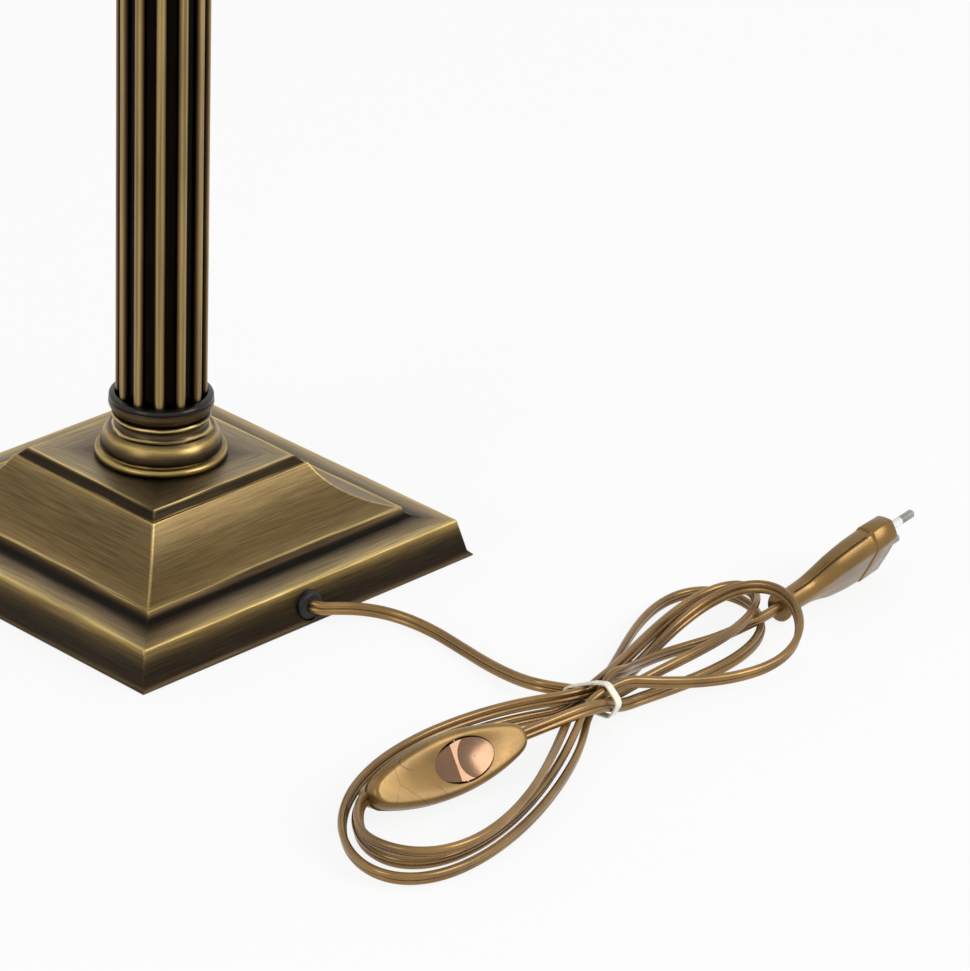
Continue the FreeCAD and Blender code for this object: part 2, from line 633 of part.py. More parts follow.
def make_trim(z, up):
    """Ribbon folded over the shade's edge, on the outside."""
    z2 = z + up * TRIM_W
    a, b = shade_r(z) + SHADE_T, shade_r(z2) + SHADE_T
    return lathe([(a, z), (a + TRIM_T, z), (b + TRIM_T, z2), (b, z2)])


def make_fitter():
    """Ring for the lampholder with three arms to the lower wire."""
    ring = tube(FITTER_OUT_R, HOLDER_R + FITTER_PLAY, FITTER_T, V(0, 0, FITTER_Z))
    wire_r = shade_r(SHADE_Z0 + SHADE_WIRE_R) - 2 * SHADE_WIRE_R - 0.4
    z_in = FITTER_Z - ARM_R / 2
    z_out = SHADE_Z0 + SHADE_WIRE_R
    for k in range(ARM_COUNT):
        a = math.radians(90 + 360.0 / ARM_COUNT * k)
        out = V(math.cos(a), math.sin(a), 0)
        p = out * (FITTER_OUT_R - 1.0) + UP * z_in
        q = out * (FITTER_OUT_R + 22) + UP * z_in
        s = out * wire_r + UP * z_out
        bend = (q - p).normalize()
        arm = cylinder(ARM_R, (q - p).Length, p, bend)
        arm = arm.fuse(Part.makeSphere(ARM_R, q))
        arm = arm.fuse(cylinder(ARM_R, (s - q).Length, q, (s - q).normalize()))
        ring = ring.fuse(arm)
    return ring.removeSplitter()


def make_shade_ring():
    """Threaded ring that holds the fitter down on the shoulder."""
    z0 = FITTER_Z + FITTER_T
    r = HOLDER_R + RING_PLAY
    body = tube(RING_OUT_R, r, RING_H, V(0, 0, z0))
    for k in range(24):
        a = 2 * math.pi * k / 24
        at = V((RING_OUT_R + 0.3) * math.cos(a), (RING_OUT_R + 0.3) * math.sin(a), z0)
        body = body.cut(cylinder(0.7, RING_H, at))
    return body


# ---------------------------------------------------------------------- switch
def tilted_frame(at, along, lean):
    """Placement whose X runs along the vector, with Y across and Z up leaning
    over by lean degrees towards +Y."""
    x = V(along).normalize()
    side = UP.cross(x).normalize()
    up = x.cross(side)
    c, s = math.cos(math.radians(lean)), math.sin(math.radians(lean))
    y = side * c + up * s
    z = up * c - side * s
    return FreeCAD.Placement(at, FreeCAD.Rotation(x, y, z, "XYZ"))


SWITCH_TURN = math.radians(-3.0)
SWITCH_AXIS = V(-math.cos(SWITCH_TURN), -math.sin(SWITCH_TURN), 0)   # towards the tie
SWITCH = tilted_frame(SWITCH_FACE, SWITCH_AXIS, SWITCH_LEAN)
SWITCH_WAY = V(SWITCH_AXIS).normalize()
SWITCH_IN = SWITCH_L / 2 - 5.0              # the lead ends this far from its middle
ROCKER_REACH = ROCKER_ARM_Y + ROCKER_ARM_T  # half length of the rocker's pin


def placed(shape, frame):
    out = shape.copy()
    out.Placement = frame.multiply(out.Placement)
    return out


def boat(inset, z):
    """Pointed oval outline of the switch, drawn in by inset, at height z."""
    a, b, e = SWITCH_L / 2 - inset, SWITCH_W / 2 - inset, SWITCH_END_W / 2 - inset * 0.6
    s = a - 4.0
    return Part.Wire([
        arc(V(-s, -e, z), V(0, -b, z), V(s, -e, z)), arc(V(s, -e, z), V(a, 0, z), V(s, e, z)),
        arc(V(s, e, z), V(0, b, z), V(-s, e, z)), arc(V(-s, e, z), V(-a, 0, z), V(-s, -e, z))])


def boat_loft(levels):
    return Part.makeLoft([boat(inset, z) for inset, z in levels], True, True)


def oval(a, b, z0, z1, x=0.0):
    e = Part.Ellipse(V(x, 0, z0), a, b).toShape()
    return Part.Face(Part.Wire([e])).extrude(V(0, 0, z1 - z0))


def cord_hole(r):
    return cylinder(r, SWITCH_L + 20, V(-SWITCH_L / 2 - 10, 0, -SWITCH_CORD_D), V(1, 0, 0))


def make_switch_cover():
    t = SWITCH_WALL
    shell = boat_loft([(0, -SWITCH_SPLIT), (0.5, -3.4), (1.5, -1.2), (3.4, 0)])
    room = boat_loft([(t, -SWITCH_SPLIT), (t + 0.5, -3.4), (t + 2.4, -t)])
    shell = shell.cut(room)
    shell = shell.cut(oval(ROCKER_A + ROCKER_GAP, ROCKER_B + ROCKER_GAP, -SWITCH_SPLIT, 1, ROCKER_X))
    return placed(shell.cut(cord_hole(CORD_R + 0.05)), SWITCH)


def make_switch_base():
    t = SWITCH_WALL
    shell = boat_loft([(SWITCH_TAPER, -SWITCH_H), (SWITCH_TAPER - 1.2, -SWITCH_H + 1.6), (0, -SWITCH_SPLIT)])
    room = boat_loft([(SWITCH_TAPER + t, -SWITCH_H + t), (t, -SWITCH_SPLIT)])
    shell = shell.cut(room)
    for side in (-1, 1):
        post = cylinder(2.4, SWITCH_H - SWITCH_SPLIT - 0.6, V(side * SWITCH_SCREW_X, 0, -SWITCH_H + 0.4))
        hole = cylinder(1.25, SWITCH_H, V(side * SWITCH_SCREW_X, 0, -SWITCH_H - 1))
        sink = cylinder(2.3, 1.5, V(side * SWITCH_SCREW_X, 0, -SWITCH_H))
        shell = shell.fuse(post).cut(hole).cut(sink)
    for side in (-1, 1):
        low = -SWITCH_H + 3.5
        y = ROCKER_ARM_Y if side > 0 else -ROCKER_ARM_Y - ROCKER_ARM_T
        arm = Part.makeBox(6.0, ROCKER_ARM_T, -ROCKER_PIVOT + 0.6 - low, V(ROCKER_X - 3.0, y, low))
        shell = shell.fuse(arm)
    shell = shell.cut(cord_hole(CORD_R + 0.05))
    shell = shell.cut(cylinder(ROCKER_PIN_R, 2 * ROCKER_REACH, V(ROCKER_X, -ROCKER_REACH, -ROCKER_PIVOT), V(0, 1, 0)))
    return placed(shell.removeSplitter(), SWITCH)


def make_switch_screw(side):
    x = side * SWITCH_SCREW_X
    head = cylinder(2.2, 1.3, V(x, 0, -SWITCH_H + 0.2))
    shank = cylinder(1.2, 7.0, V(x, 0, -SWITCH_H + 1.5))
    slot = Part.makeBox(4.6, 0.6, 0.6, V(x - 2.3, -0.3, -SWITCH_H + 0.2))
    return placed(head.fuse(shank).cut(slot).removeSplitter(), SWITCH)


def make_rocker():
    """Oval rocker: a flat dished end that stands level and an end that slopes
    down into the case, on a pin across its middle."""
    a, b = ROCKER_A, ROCKER_B
    body = oval(a, b, -5.0, 0.8)
    ridge = -ROCKER_RIDGE
    slope = outline([(ridge, 0.9), (ridge, 0.8), (-a - 1, -3.4), (-a - 1, 0.9)],
                    lambda x, z: V(x, -b - 1, z)).extrude(V(0, 2 * b + 2, 0))
    body = body.cut(slope)
    dish_r = 46.0
    body = body.cut(Part.makeSphere(dish_r, V(a - 9.5, 0, 0.8 + dish_r - 1.0)))
    body = body.cut(cylinder(ROCKER_PIN_R + 0.05, 2 * b + 2, V(0, -b - 1, -ROCKER_PIVOT), V(0, 1, 0)))
    body = body.removeSplitter()
    body.translate(V(ROCKER_X, 0, 0))
    return placed(body, SWITCH)


def make_rocker_pin():
    return placed(cylinder(ROCKER_PIN_R, 2 * ROCKER_REACH, V(ROCKER_X, -ROCKER_REACH, -ROCKER_PIVOT), V(0, 1, 0)), SWITCH)


def make_switch_contact(side):
    """Brass terminal: a strip on the case's floor with a screw block on it."""
    x, floor = side * 20.0, -SWITCH_H + SWITCH_WALL
    strip = Part.makeBox(10.0, 5.0, 1.0, V(x - 5, -2.5, floor))
    block = Part.makeBox(5.0, 5.0, 4.0, V(x - 2.5, -2.5, floor + 1.0))
    return placed(strip.fuse(block).cut(cylinder(1.1, 4, V(x, 0, floor + 1.5))).removeSplitter(), SWITCH)


# ------------------------------------------------------------------------ plug
def plug_section(x, w, t, chamfer):
    """Six-sided plug section at distance x from the rear: width w, thickness t."""
    a, b, c = w / 2, t / 2, chamfer
    pts = [V(x, -a, 0), V(x, -a + c, b), V(x, a - c, b), V(x, a, 0), V(x, a - c, -b), V(x, -a + c, -b)]
    return Part.makePolygon(pts + pts[:1])


def make_plug_body():
    """Flat two-pin plug: broad head, drawn-in waist and a finger flange."""
    f, t = PLUG_FACE_W, PLUG_FACE_T
    body = Part.makeLoft([plug_section(x, w, h, c) for x, w, h, c in (
        (PLUG_FLANGE_T, 13.0, 10.4, 3.5), (PLUG_L * 0.22, 14.0, 10.8, 3.5),
        (PLUG_L * 0.42, 18.5, 12.0, 4.0), (PLUG_L * 0.62, 27.0, t, 4.5),
        (PLUG_L * 0.80, f - 1.0, t, 4.5))], True, True)
    head = Part.makeLoft([plug_section(PLUG_L * 0.80, f, t + 0.6, 4.6),
                          plug_section(PLUG_L, f, t, 4.6)], True, True)
    flange = oval(8.8, 6.6, 0, PLUG_FLANGE_T)
    flange.rotate(V(0, 0, 0), V(0, 1, 0), 90)
    flange.rotate(V(0, 0, 0), V(1, 0, 0), 90)
    body = body.fuse(head).fuse(flange)
    for side in (-1, 1):
        edge = Part.makeBox(PLUG_L * 0.68, 1.0, 0.5, V(PLUG_FLANGE_T + 6, side * 40.0 - 0.5, -0.25))
        body = body.cut(edge)
        body = body.cut(cylinder(PLUG_PIN_R, PLUG_PIN_L, V(PLUG_L - 6, side * PLUG_PIN_GAP / 2, 0), V(1, 0, 0)))
    body = body.cut(cylinder(CORD_R + 0.15, 6.0, V(0, 0, 0), V(1, 0, 0)))
    return placed(body.removeSplitter(), PLUG)


def make_plug_pin(side):
    y = side * PLUG_PIN_GAP / 2
    tip = PLUG_L + PLUG_PIN_L
    core = cylinder(PLUG_PIN_R - 0.45, PLUG_SLEEVE_L + 6.0, V(PLUG_L - 6, y, 0), V(1, 0, 0))
    bare = cylinder(PLUG_PIN_R, PLUG_PIN_L - PLUG_SLEEVE_L - 1.2, V(PLUG_L + PLUG_SLEEVE_L, y, 0), V(1, 0, 0))
    nose = Part.makeCone(PLUG_PIN_R, PLUG_PIN_R - 0.9, 1.2, V(tip - 1.2, y, 0), V(1, 0, 0))
    return placed(core.fuse(bare).fuse(nose).removeSplitter(), PLUG)


def make_pin_sleeve(side):
    y = side * PLUG_PIN_GAP / 2
    return placed(tube(PLUG_PIN_R, PLUG_PIN_R - 0.45, PLUG_SLEEVE_L + 6.0, V(PLUG_L - 6, y, 0), V(1, 0, 0)), PLUG)


PLUG_WAY = V(-math.cos(math.radians(PLUG_YAW)) * math.cos(math.radians(PLUG_PITCH)),
             -math.sin(math.radians(PLUG_YAW)) * math.cos(math.radians(PLUG_PITCH)),
             math.sin(math.radians(PLUG_PITCH)))
PLUG = tilted_frame(PLUG_REAR, PLUG_WAY, PLUG_LEAN)


# ----------------------------------------------------------------------- cords
def rounded_path(points):
    """Straight runs joined by tangent arcs; each arc as large as its two runs
    allow.  Returns the wire, its length and the least radius."""
    edges, here, radii = [], points[0], []
    for k in range(1, len(points) - 1):
        a, b, c = points[k - 1], points[k], points[k + 1]
        u, w = (b - a).normalize(), (c - b).normalize()
        half = u.getAngle(w) / 2
        cut = 0.45 * min((b - a).Length, (c - b).Length)
        radii.append(cut / math.tan(half))
        p, q = b - u * cut, b + w * cut
        centre_way = (w - u).normalize()
        sag = radii[-1] * (1 / math.cos(half) - 1)
        edges += [line(here, p), arc(p, b + centre_way * sag, q)]
        here = q
    edges.append(line(here, points[-1]))
    return Part.Wire(edges), sum(e.Length for e in edges), radii


def biarc(p0, t0, p1, t1):
    """Two tangent arcs from p0, leaving along t0, to p1, arriving along t1."""
    d = p1 - p0
    if d.getAngle(t0) < 1e-6 and d.getAngle(t1) < 1e-6:
        return [line(p0, p1)]
    s = t0 + t1
    a = 2 * (1 - t0.dot(t1))
    b = 2 * d.dot(s)
    c = -d.dot(d)
    if abs(a) < 1e-9:
        reach = d.dot(d) / (4 * d.dot(t1))
    else:
        reach = (-b + math.sqrt(b * b - 4 * a * c)) / (2 * a)
    q0, q1 = p0 + t0 * reach, p1 - t1 * reach
    joint = (q0 + q1) * 0.5
    out = []
    for a0, corner, a1 in ((p0, q0, joint), (joint, q1, p1)):
        u, w = (corner - a0), (a1 - corner)
        half = u.getAngle(w) / 2
        if half < 1e-4:
            out.append(line(a0, a1))
            continue
        r = u.Length / math.tan(half)
        inward = ((w * (1 / w.Length)) - (u * (1 / u.Length))).normalize()
        out.append(arc(a0, corner + inward * (r * (1 / math.cos(half) - 1)), a1))
    return out


def sweep(wire, r):
    start = wire.Edges[0]
    at = start.valueAt(start.FirstParameter)
    way = start.tangentAt(start.FirstParameter)
    ring = Part.Wire([Part.Circle(at, way, r).toShape()])
    return wire.makePipeShell([ring], True, False)


def pass_end(place, side):
    """Offset and height of a pass at its +X end (side 1) or -X end (side -1)."""
    return place[:2] if side > 0 else place[2:]


def loop_point(loop, t, start, end):
    """Point at share t of one loop of the hank.  A loop leaves the tie at one
    pass, swells to its reach and spread, and comes back to the tie at the next."""
    side, reach, spread, waist, lean, bow, skew, out, back, over, over_at, over_w = loop
    y0, z0 = pass_end(start, side)
    y1, z1 = pass_end(end, side)
    s = math.sin(math.pi * t)
    u = reach * s * s
    v = spread * math.sin(2 * math.pi * t) * s ** waist if s > 1e-9 else 0.0
    u, v = u + skew * v, v + bow * u * u / reach
    x = u * math.cos(lean) - v * math.sin(lean)
    y = u * math.sin(lean) + v * math.cos(lean)
    w = 0.5 - 0.5 * math.cos(math.pi * t)
    fall = math.sin(math.pi / 2 * min(1.0, s / LOOP_FALL)) ** 2
    lie = out + (back - out) * w + over * math.exp(-((t - over_at) / over_w) ** 2)
    z = z0 + (z1 - z0) * w
    z += (lie - z) * fall
    return V(TIE_AT.x + side * (TIE_HALF + x), TIE_AT.y + y0 + (y1 - y0) * w + y, z)


def loop_way(loop, t, start, end):
    if t < 1e-6 or t > 1 - 1e-6:
        return V(loop[0] * (1 if t < 0.5 else -1), 0, 0)
    d = 1e-4
    return (loop_point(loop, t + d, start, end) - loop_point(loop, t - d, start, end)).normalize()


def loop_edges(loop, start, end, t0=0.0, t1=1.0, first=None):
    """Biarcs along a loop from share t0 to t1."""
    edges = []
    count = max(2, int(round(LOOP_SPANS * (t1 - t0))))
    here = first or (loop_point(loop, t0, start, end), loop_way(loop, t0, start, end))
    for k in range(1, count + 1):
        t = t0 + (t1 - t0) * k / count
        there = (loop_point(loop, t, start, end), loop_way(loop, t, start, end))
        edges += biarc(here[0], here[1], there[0], there[1])
        here = there
    return edges, here


# --------------------------------------------------------- wires inside the lamp
def make_washer():
    z = ROOF_Z - WASHER_T
    return tube(WASHER_R, STEM_R + STEM_FIT, WASHER_T, V(0, 0, z))


def make_bottom_nut():
    return hexagon(NUT_AF, NUT_H, ROOF_Z - WASHER_T - NUT_H, STEM_R + 0.05)


INNER_R = CORD_R - 0.15


def make_inner_lead():
    """The lead inside the lamp: from the strain relief along the ballast's channel
    and up the threaded tube into the lampholder."""
    path = [V(0, LEAD[0].y, GROMMET_Z), V(0, 24.0, GROMMET_Z), V(0, 3.0, GROMMET_Z + 11.5),
            V(0, 0, STEM_Z0 + 4.0), V(0, 0, STEM_Z1 + 1.0)]
    wire, length, radii = rounded_path(path)
    print("inner lead length %.1f least radius %.1f" % (length, min(radii)))
    return sweep(wire, INNER_R)


# ------------------------------------------------------------- lead, hank and tie
def tie_end(place, side):
    """End of a strand's run through the tie; side +1 is its +X end."""
    y, z = pass_end(place, side)
    return V(TIE_AT.x + side * TIE_HALF, TIE_AT.y + y, z)


def pass_edges(place, side):
    """A strand's run through the tie towards the given side."""
    return biarc(tie_end(place, -side), V(side, 0, 0), tie_end(place, side), V(side, 0, 0))


def hull(points):
    """Convex outline round flat points."""
    points = sorted(set(points))
    sides = []
    for row in (points, points[::-1]):
        chain = []
        for p in row:
            while len(chain) > 1 and ((chain[-1][0] - chain[-2][0]) * (p[1] - chain[-2][1])
                                      - (chain[-1][1] - chain[-2][1]) * (p[0] - chain[-2][0])) <= 0:
                chain.pop()
            chain.append(p)
        sides += chain[:-1]
    return sides


def switch_point(x, depth=SWITCH_CORD_D):
    return SWITCH.multVec(V(x, 0, -depth))


def make_tie():
    """Band pulled round the strands; it is slack on the side where the lead
    comes in at a slant."""
    x0 = TIE_AT.x - TIE_W / 2
    passes = [pass_edges(p, 1) for p in (PASS_A, PASS_B, PASS_C, PASS_D, PASS_E, PASS_PLUG)]
    spots = []
    for edges in passes + [lead_edges()[0][-2:]]:
        strand = along(edges, 0.5)
        spots += [(p.y - TIE_AT.y, p.z) for p in strand if 0 <= p.x - x0 <= TIE_W]
    corners = hull(spots)
    loop = Part.makePolygon([V(x0, TIE_AT.y + y, z) for y, z in corners + corners[:1]])
    inner = Part.Face(loop).makeOffset2D(CORD_R + TIE_GAP)
    outer = Part.Face(loop).makeOffset2D(CORD_R + TIE_GAP + TIE_T)
    return outer.cut(inner).extrude(V(TIE_W, 0, 0))


def lead_edges():
    wire, length, radii = rounded_path(LEAD)
    last = (LEAD[-1] - LEAD[-2]).normalize()
    turn = biarc(LEAD[-1], last, tie_end(PASS_LEAD, -1), V(-1, 0, 0))
    radii += [e.Curve.Radius for e in turn if hasattr(e.Curve, "Radius")]
    return list(wire.Edges) + turn, radii


def first_edges():
    """From the tie round the first loop, through the tie and into the switch."""
    edges, here = loop_edges(LOOP_RIGHT_1, PASS_LEAD, PASS_A)
    edges += pass_edges(PASS_A, 1)
    edges += biarc(tie_end(PASS_A, 1), V(1, 0, 0), switch_point(SWITCH_IN + 9.0), -SWITCH_WAY)
    edges.append(line(switch_point(SWITCH_IN + 9.0), switch_point(SWITCH_IN)))
    return edges


def second_edges():
    """From the switch's other end through the remaining loops to the plug."""
    out = switch_point(-SWITCH_IN - 9.0)
    edges = [line(switch_point(-SWITCH_IN), out)]
    more, here = loop_edges(LOOP_SWITCH, PASS_A, PASS_B, 0.5, 1.0)
    meet = (loop_point(LOOP_SWITCH, 0.5, PASS_A, PASS_B), loop_way(LOOP_SWITCH, 0.5, PASS_A, PASS_B))
    edges += biarc(out, -SWITCH_WAY, meet[0], meet[1]) + more
    route = [(PASS_B, LOOP_RIGHT_2, PASS_C), (PASS_C, LOOP_LEFT_2, PASS_D),
             (PASS_D, LOOP_RIGHT_3, PASS_E), (PASS_E, LOOP_LEFT_3, PASS_PLUG)]
    for start, loop, end in route:
        edges += pass_edges(start, loop[0])
        more, here = loop_edges(loop, start, end)
        edges += more
    edges += pass_edges(PASS_PLUG, -1)
    run = [tie_end(PASS_PLUG, -1)] + PLUG_RUN + [PLUG_REAR]
    wire, length, radii = rounded_path(run)
    edges += list(wire.Edges)
    edges.append(line(PLUG_REAR, PLUG_REAR + PLUG_WAY * 5.5))
    return edges


def along(edges, spacing):
    """Points every spacing millimetres along a chain of edges."""
    points = []
    for e in edges:
        n = max(2, int(e.Length / spacing) + 1)
        ends = (e.valueAt(e.FirstParameter), e.valueAt(e.LastParameter))
        row = e.discretize(n)
        if points and (points[-1] - row[0]).Length > (points[-1] - row[-1]).Length:
            row = row[::-1]
        points += row if not points else row[1:]
    return points


def least_gap(points, spacing, skip):
    """Least distance between tube surfaces of strands that are more than skip
    millimetres apart along the cord."""
    cells = {}
    size = 2 * CORD_R + 3.0
    best, where = 1e9, None
    run = [0.0]
    for a, b in zip(points, points[1:]):
        run.append(run[-1] + (b - a).Length)
    for k, p in enumerate(points):
        key = (int(p.x // size), int(p.y // size), int(p.z // size))
        for dx in (-1, 0, 1):
            for dy in (-1, 0, 1):
                for dz in (-1, 0, 1):
                    for j in cells.get((key[0] + dx, key[1] + dy, key[2] + dz), ()):
                        if run[k] - run[j] > skip:
                            d = (p - points[j]).Length
                            if d < best:
                                best, where = d, (p, points[j])
        cells.setdefault(key, []).append(k)
    return best - 2 * CORD_R, where


def cord_solid(name, edges):
    wire = Part.Wire(edges)
    body = sweep(wire, CORD_R)
    length = sum(e.Length for e in edges)
    ideal = math.pi * CORD_R ** 2 * length
    tight = min([e.Curve.Radius for e in edges if hasattr(e.Curve, "Radius")])
    print("%s length %.1f least bend radius %.1f volume %.1f of %.1f valid %s" % (
        name, length, tight, body.Volume, ideal, body.isValid()))
    return body


def make_cords():
    lead, radii = lead_edges()
    first, second = first_edges(), second_edges()
    print("lead bend radii:", " ".join("%.1f" % r for r in radii))
    whole = along(lead, 1.0) + along(first, 1.0)[1:] + along(second, 1.0)
    gap, where = least_gap(whole, 1.0, 25.0)
    print("least gap of the cord to itself %.2f mm at" % gap, where)
    assert gap > 0.4
    return [("cord_lead", cord_solid("cord_lead", lead)),
            ("cord_coil_1", cord_solid("cord_coil_1", first)),
            ("cord_coil_2", cord_solid("cord_coil_2", second))]


# ------------------------------------------------------------------------ parts
def main():
    save("base_casting", make_base_casting())
    save("base_cover", make_cover())
    save("felt_pad", make_felt())
    save("base_weight", make_weight())
    for k, (x, y) in enumerate(POSTS):
        save("cover_screw_%d" % (k + 1), make_cover_screw(x, y))
    save("cord_grommet", make_grommet())
    save("cord_clamp", make_clamp())
    save("column_foot", make_foot())
    save("foot_rim", make_rim(FOOT_TOP, 1))
    save("column_shaft", make_column())
    save("capital_rim", make_rim(CAP_TOP - FOOT_H, -1))
    save("column_capital", make_capital())
    save("abacus", make_abacus())
    save("neck", make_neck())
    save("stem_tube", make_stem())
    save("stem_washer", make_washer())
    save("stem_nut", make_bottom_nut())
    save("holder_cap", make_holder_cap())
    save("holder_nut", make_stem_nut())
    save("holder_body", make_holder_body())
    save("holder_insert", make_insert())
    save("screw_shell", make_screw_shell())
    save("centre_contact", make_centre_contact())
    for k, side in enumerate((-1, 1)):
        save("terminal_%d" % (k + 1), make_terminal(side))
    save("bulb_cap", make_bulb_cap())
    save("bulb_insulator", make_bulb_insulator())
    save("bulb_contact", make_bulb_contact())
    save("bulb_glass", make_bulb_glass())
    save("shade_ring", make_shade_ring())
    save("shade_fitter", make_fitter())
    save("shade_skin", make_shade_skin())
    save("shade_wire_bottom", make_shade_wire(SHADE_Z0, SHADE_WIRE_R))
    save("shade_wire_top", make_shade_wire(SHADE_Z1, -SHADE_WIRE_R))
    save("shade_trim_bottom", make_trim(SHADE_Z0, 1))
    save("shade_trim_top", make_trim(SHADE_Z1, -1))
    save("switch_cover", make_switch_cover())
    save("switch_base", make_switch_base())
    save("switch_rocker", make_rocker())
    save("rocker_pin", make_rocker_pin())
    for k, side in enumerate((-1, 1)):
        save("switch_screw_%d" % (k + 1), make_switch_screw(side))
        save("switch_contact_%d" % (k + 1), make_switch_contact(side))
    save("plug_body", make_plug_body())
    for k, side in enumerate((-1, 1)):
        save("plug_pin_%d" % (k + 1), make_plug_pin(side))
        save("pin_sleeve_%d" % (k + 1), make_pin_sleeve(side))
    save("inner_lead", make_inner_lead())
    for name, body in make_cords():
        save(name, body)
    save("cord_tie", make_tie())


main()
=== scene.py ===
"""Column table lamp: finishes, twin lead, plug, switch cover, light and camera
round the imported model.  Sizes named here are in millimetres, as in the part's
source, unless a comment says metres; they become metres where they are used."""
import math
import bpy
from mathutils import Matrix, Vector


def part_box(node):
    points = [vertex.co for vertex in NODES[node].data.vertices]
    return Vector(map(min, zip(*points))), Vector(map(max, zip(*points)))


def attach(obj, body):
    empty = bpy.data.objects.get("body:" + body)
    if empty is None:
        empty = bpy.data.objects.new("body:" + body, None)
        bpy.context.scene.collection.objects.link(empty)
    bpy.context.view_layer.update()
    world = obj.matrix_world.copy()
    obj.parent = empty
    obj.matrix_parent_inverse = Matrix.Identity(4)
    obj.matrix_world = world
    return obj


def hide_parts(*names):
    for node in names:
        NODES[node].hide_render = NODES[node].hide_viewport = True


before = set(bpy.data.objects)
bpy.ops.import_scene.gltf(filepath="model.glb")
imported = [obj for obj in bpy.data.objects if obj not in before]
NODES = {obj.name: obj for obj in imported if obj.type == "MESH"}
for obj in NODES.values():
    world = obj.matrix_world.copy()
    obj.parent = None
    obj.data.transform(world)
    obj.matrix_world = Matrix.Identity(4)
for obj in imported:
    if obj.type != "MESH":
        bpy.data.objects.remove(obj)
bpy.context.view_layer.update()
MM = 0.001
UP = Vector((0, 0, 1))

# ---------------------------------------------------------------------- camera
PHOTO_W = 970.0                                        # pixels
CAM_FOCAL = 5356.8                                     # pixels
CAM_AT = Vector((1.4523, 1.6013, 1.0943))              # metres
CAM_TURN, CAM_DIP, CAM_ROLL = 133.936, 26.111, 2.052   # degrees
CAM_CLIP = (0.05, 50.0)                                # metres
SENSOR_W = 36.0

# ---------------------------------------------------------------- floor and light
FLOOR_HALF = 40.0                  # metres
FLOOR_TONE = 0.94
FLOOR_WHITE = 0.87                 # share of plain white that camera, gloss and glass see
LIGHT_AIM = (0, 0.1, 0.05)         # metres
# lights: place and size in metres, power in watts
KEY_AT, KEY_SIZE, KEY_POWER = (-0.9, 2.0, 1.3), (1.2, 1.0), 24.0
SIDE_AT, SIDE_SIZE, SIDE_POWER = (2.2, 0.2, 1.0), (1.0, 1.0), 11.0
SKY_LIGHT, SKY_SEEN = 0.6, 1.0     # strength as light on the object, and as seen

# ------------------------------------------------------------------ lead and hank
CORE_R, CORE_OFF = 1.65, 1.3       # its two cores, drawn a little full
CORE_POINTS = 10                   # points round one core
GROOVE_HALF, GROOVE_DEPTH = 0.2, 0.7
INNER_R = 1.9                      # lead inside the lamp
ROUTE_STEPS = 8                    # points of the mesh between two control points
# lean of the broad side from upright, in degrees, by share of the lead's length
LEANS = [(0.0, -12.0), (0.05, -12.0), (0.09, 15.0), (0.24, 15.0), (0.27, 28.0), (0.34, 28.0),
         (0.40, 15.0), (1.0, 15.0)]
GROMMET_Z = 8.7
TIE_AT = Vector((-31.0, 241.0, 0.0))
TIE_HALF = 10.0                    # the strands run straight this far each side
LOOP_FALL = 0.75                   # a loop is down at its resting height once it swells this far
LOOP_POINTS = 18                   # control points to a loop
# each pass through the tie: offset and height at its +X end, then at its -X end
PASS_LEAD = (-10.4, 3.6, -10.4, 3.6)
PASS_A = (12.8, 15.3, 6.2, 3.9)
PASS_B = (-3.0, 5.7, 2.4, 7.2)
PASS_C = (-7.4, 3.1, -7.4, 10.1)
PASS_D = (5.4, 12.9, 7.4, 16.6)
PASS_E = (-5.1, 11.2, -2.0, 10.1)
PASS_PLUG = (6.0, 5.4, -1.0, 16.9)
# loops: side, reach, spread, waist, lean, bow, skew, resting height on the way
# out and back, rise over a crossing, its place along the loop and its width
LOOP_RIGHT_1 = (-1, 118.0, -33.0, 1.68, -0.155, -0.107, 0.03, 2.8, 2.6, 0.0, 0.5, 0.1)
LOOP_SWITCH = (1, 150.4, -57.3, 1.14, 0.14, -0.033, 0.369, 12.4, 13.9, 0.0, 0.5, 0.1)
LOOP_RIGHT_2 = (-1, 113.8, 18.5, 1.27, -0.076, -0.113, 0.08, 14.0, 8.2, 0.0, 0.5, 0.1)
LOOP_LEFT_2 = (1, 146.6, -36.8, 0.97, 0.052, 0.159, -0.082, 3.5, 3.3, 0.0, 0.5, 0.1)
LOOP_RIGHT_3 = (-1, 102.0, 34.0, 1.58, -0.151, 0.235, -0.596, 10.7, -1.7, 18.2, 0.563, 0.16)
LOOP_LEFT_3 = (1, 159.4, -41.8, 0.69, 0.048, 0.175, -0.01, 8.5, 1.7, 0.0, 0.5, 0.1)
LEAD = [(0, 95.0, GROMMET_Z), (0, 102.0, GROMMET_Z), (-8.0, 106.8, 8.0), (-17.0, 111.8, 6.6),
        (-25.0, 119.5, 4.9), (-29.8, 130.5, 3.6), (-31.3, 145.0, 2.9), (-29.6, 162.0, 2.7),
        (-26.6, 182.0, 3.2), (-24.2, 201.0, 5.0), (-23.4, 217.5, 8.0)]
PLUG_RUN = [(-53.0, 238.0, 13.2), (-64.0, 232.0, 8.6), (-75.0, 228.6, 5.8), (-87.5, 226.6, 3.9),
            (-103.0, 227.6, 2.8), (-119.5, 231.6, 3.2), (-132.5, 236.2, 6.7), (-145.08, 236.59, 7.41)]
STEM_LOW, STEM_TOP = (corner.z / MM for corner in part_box("stem_tube"))
INNER = [(0, 95.0, GROMMET_Z), (0, 24.0, GROMMET_Z), (0, 3.0, GROMMET_Z + 11.5),
         (0, 0, STEM_LOW + 4.0), (0, 0, STEM_TOP + 1.0)]

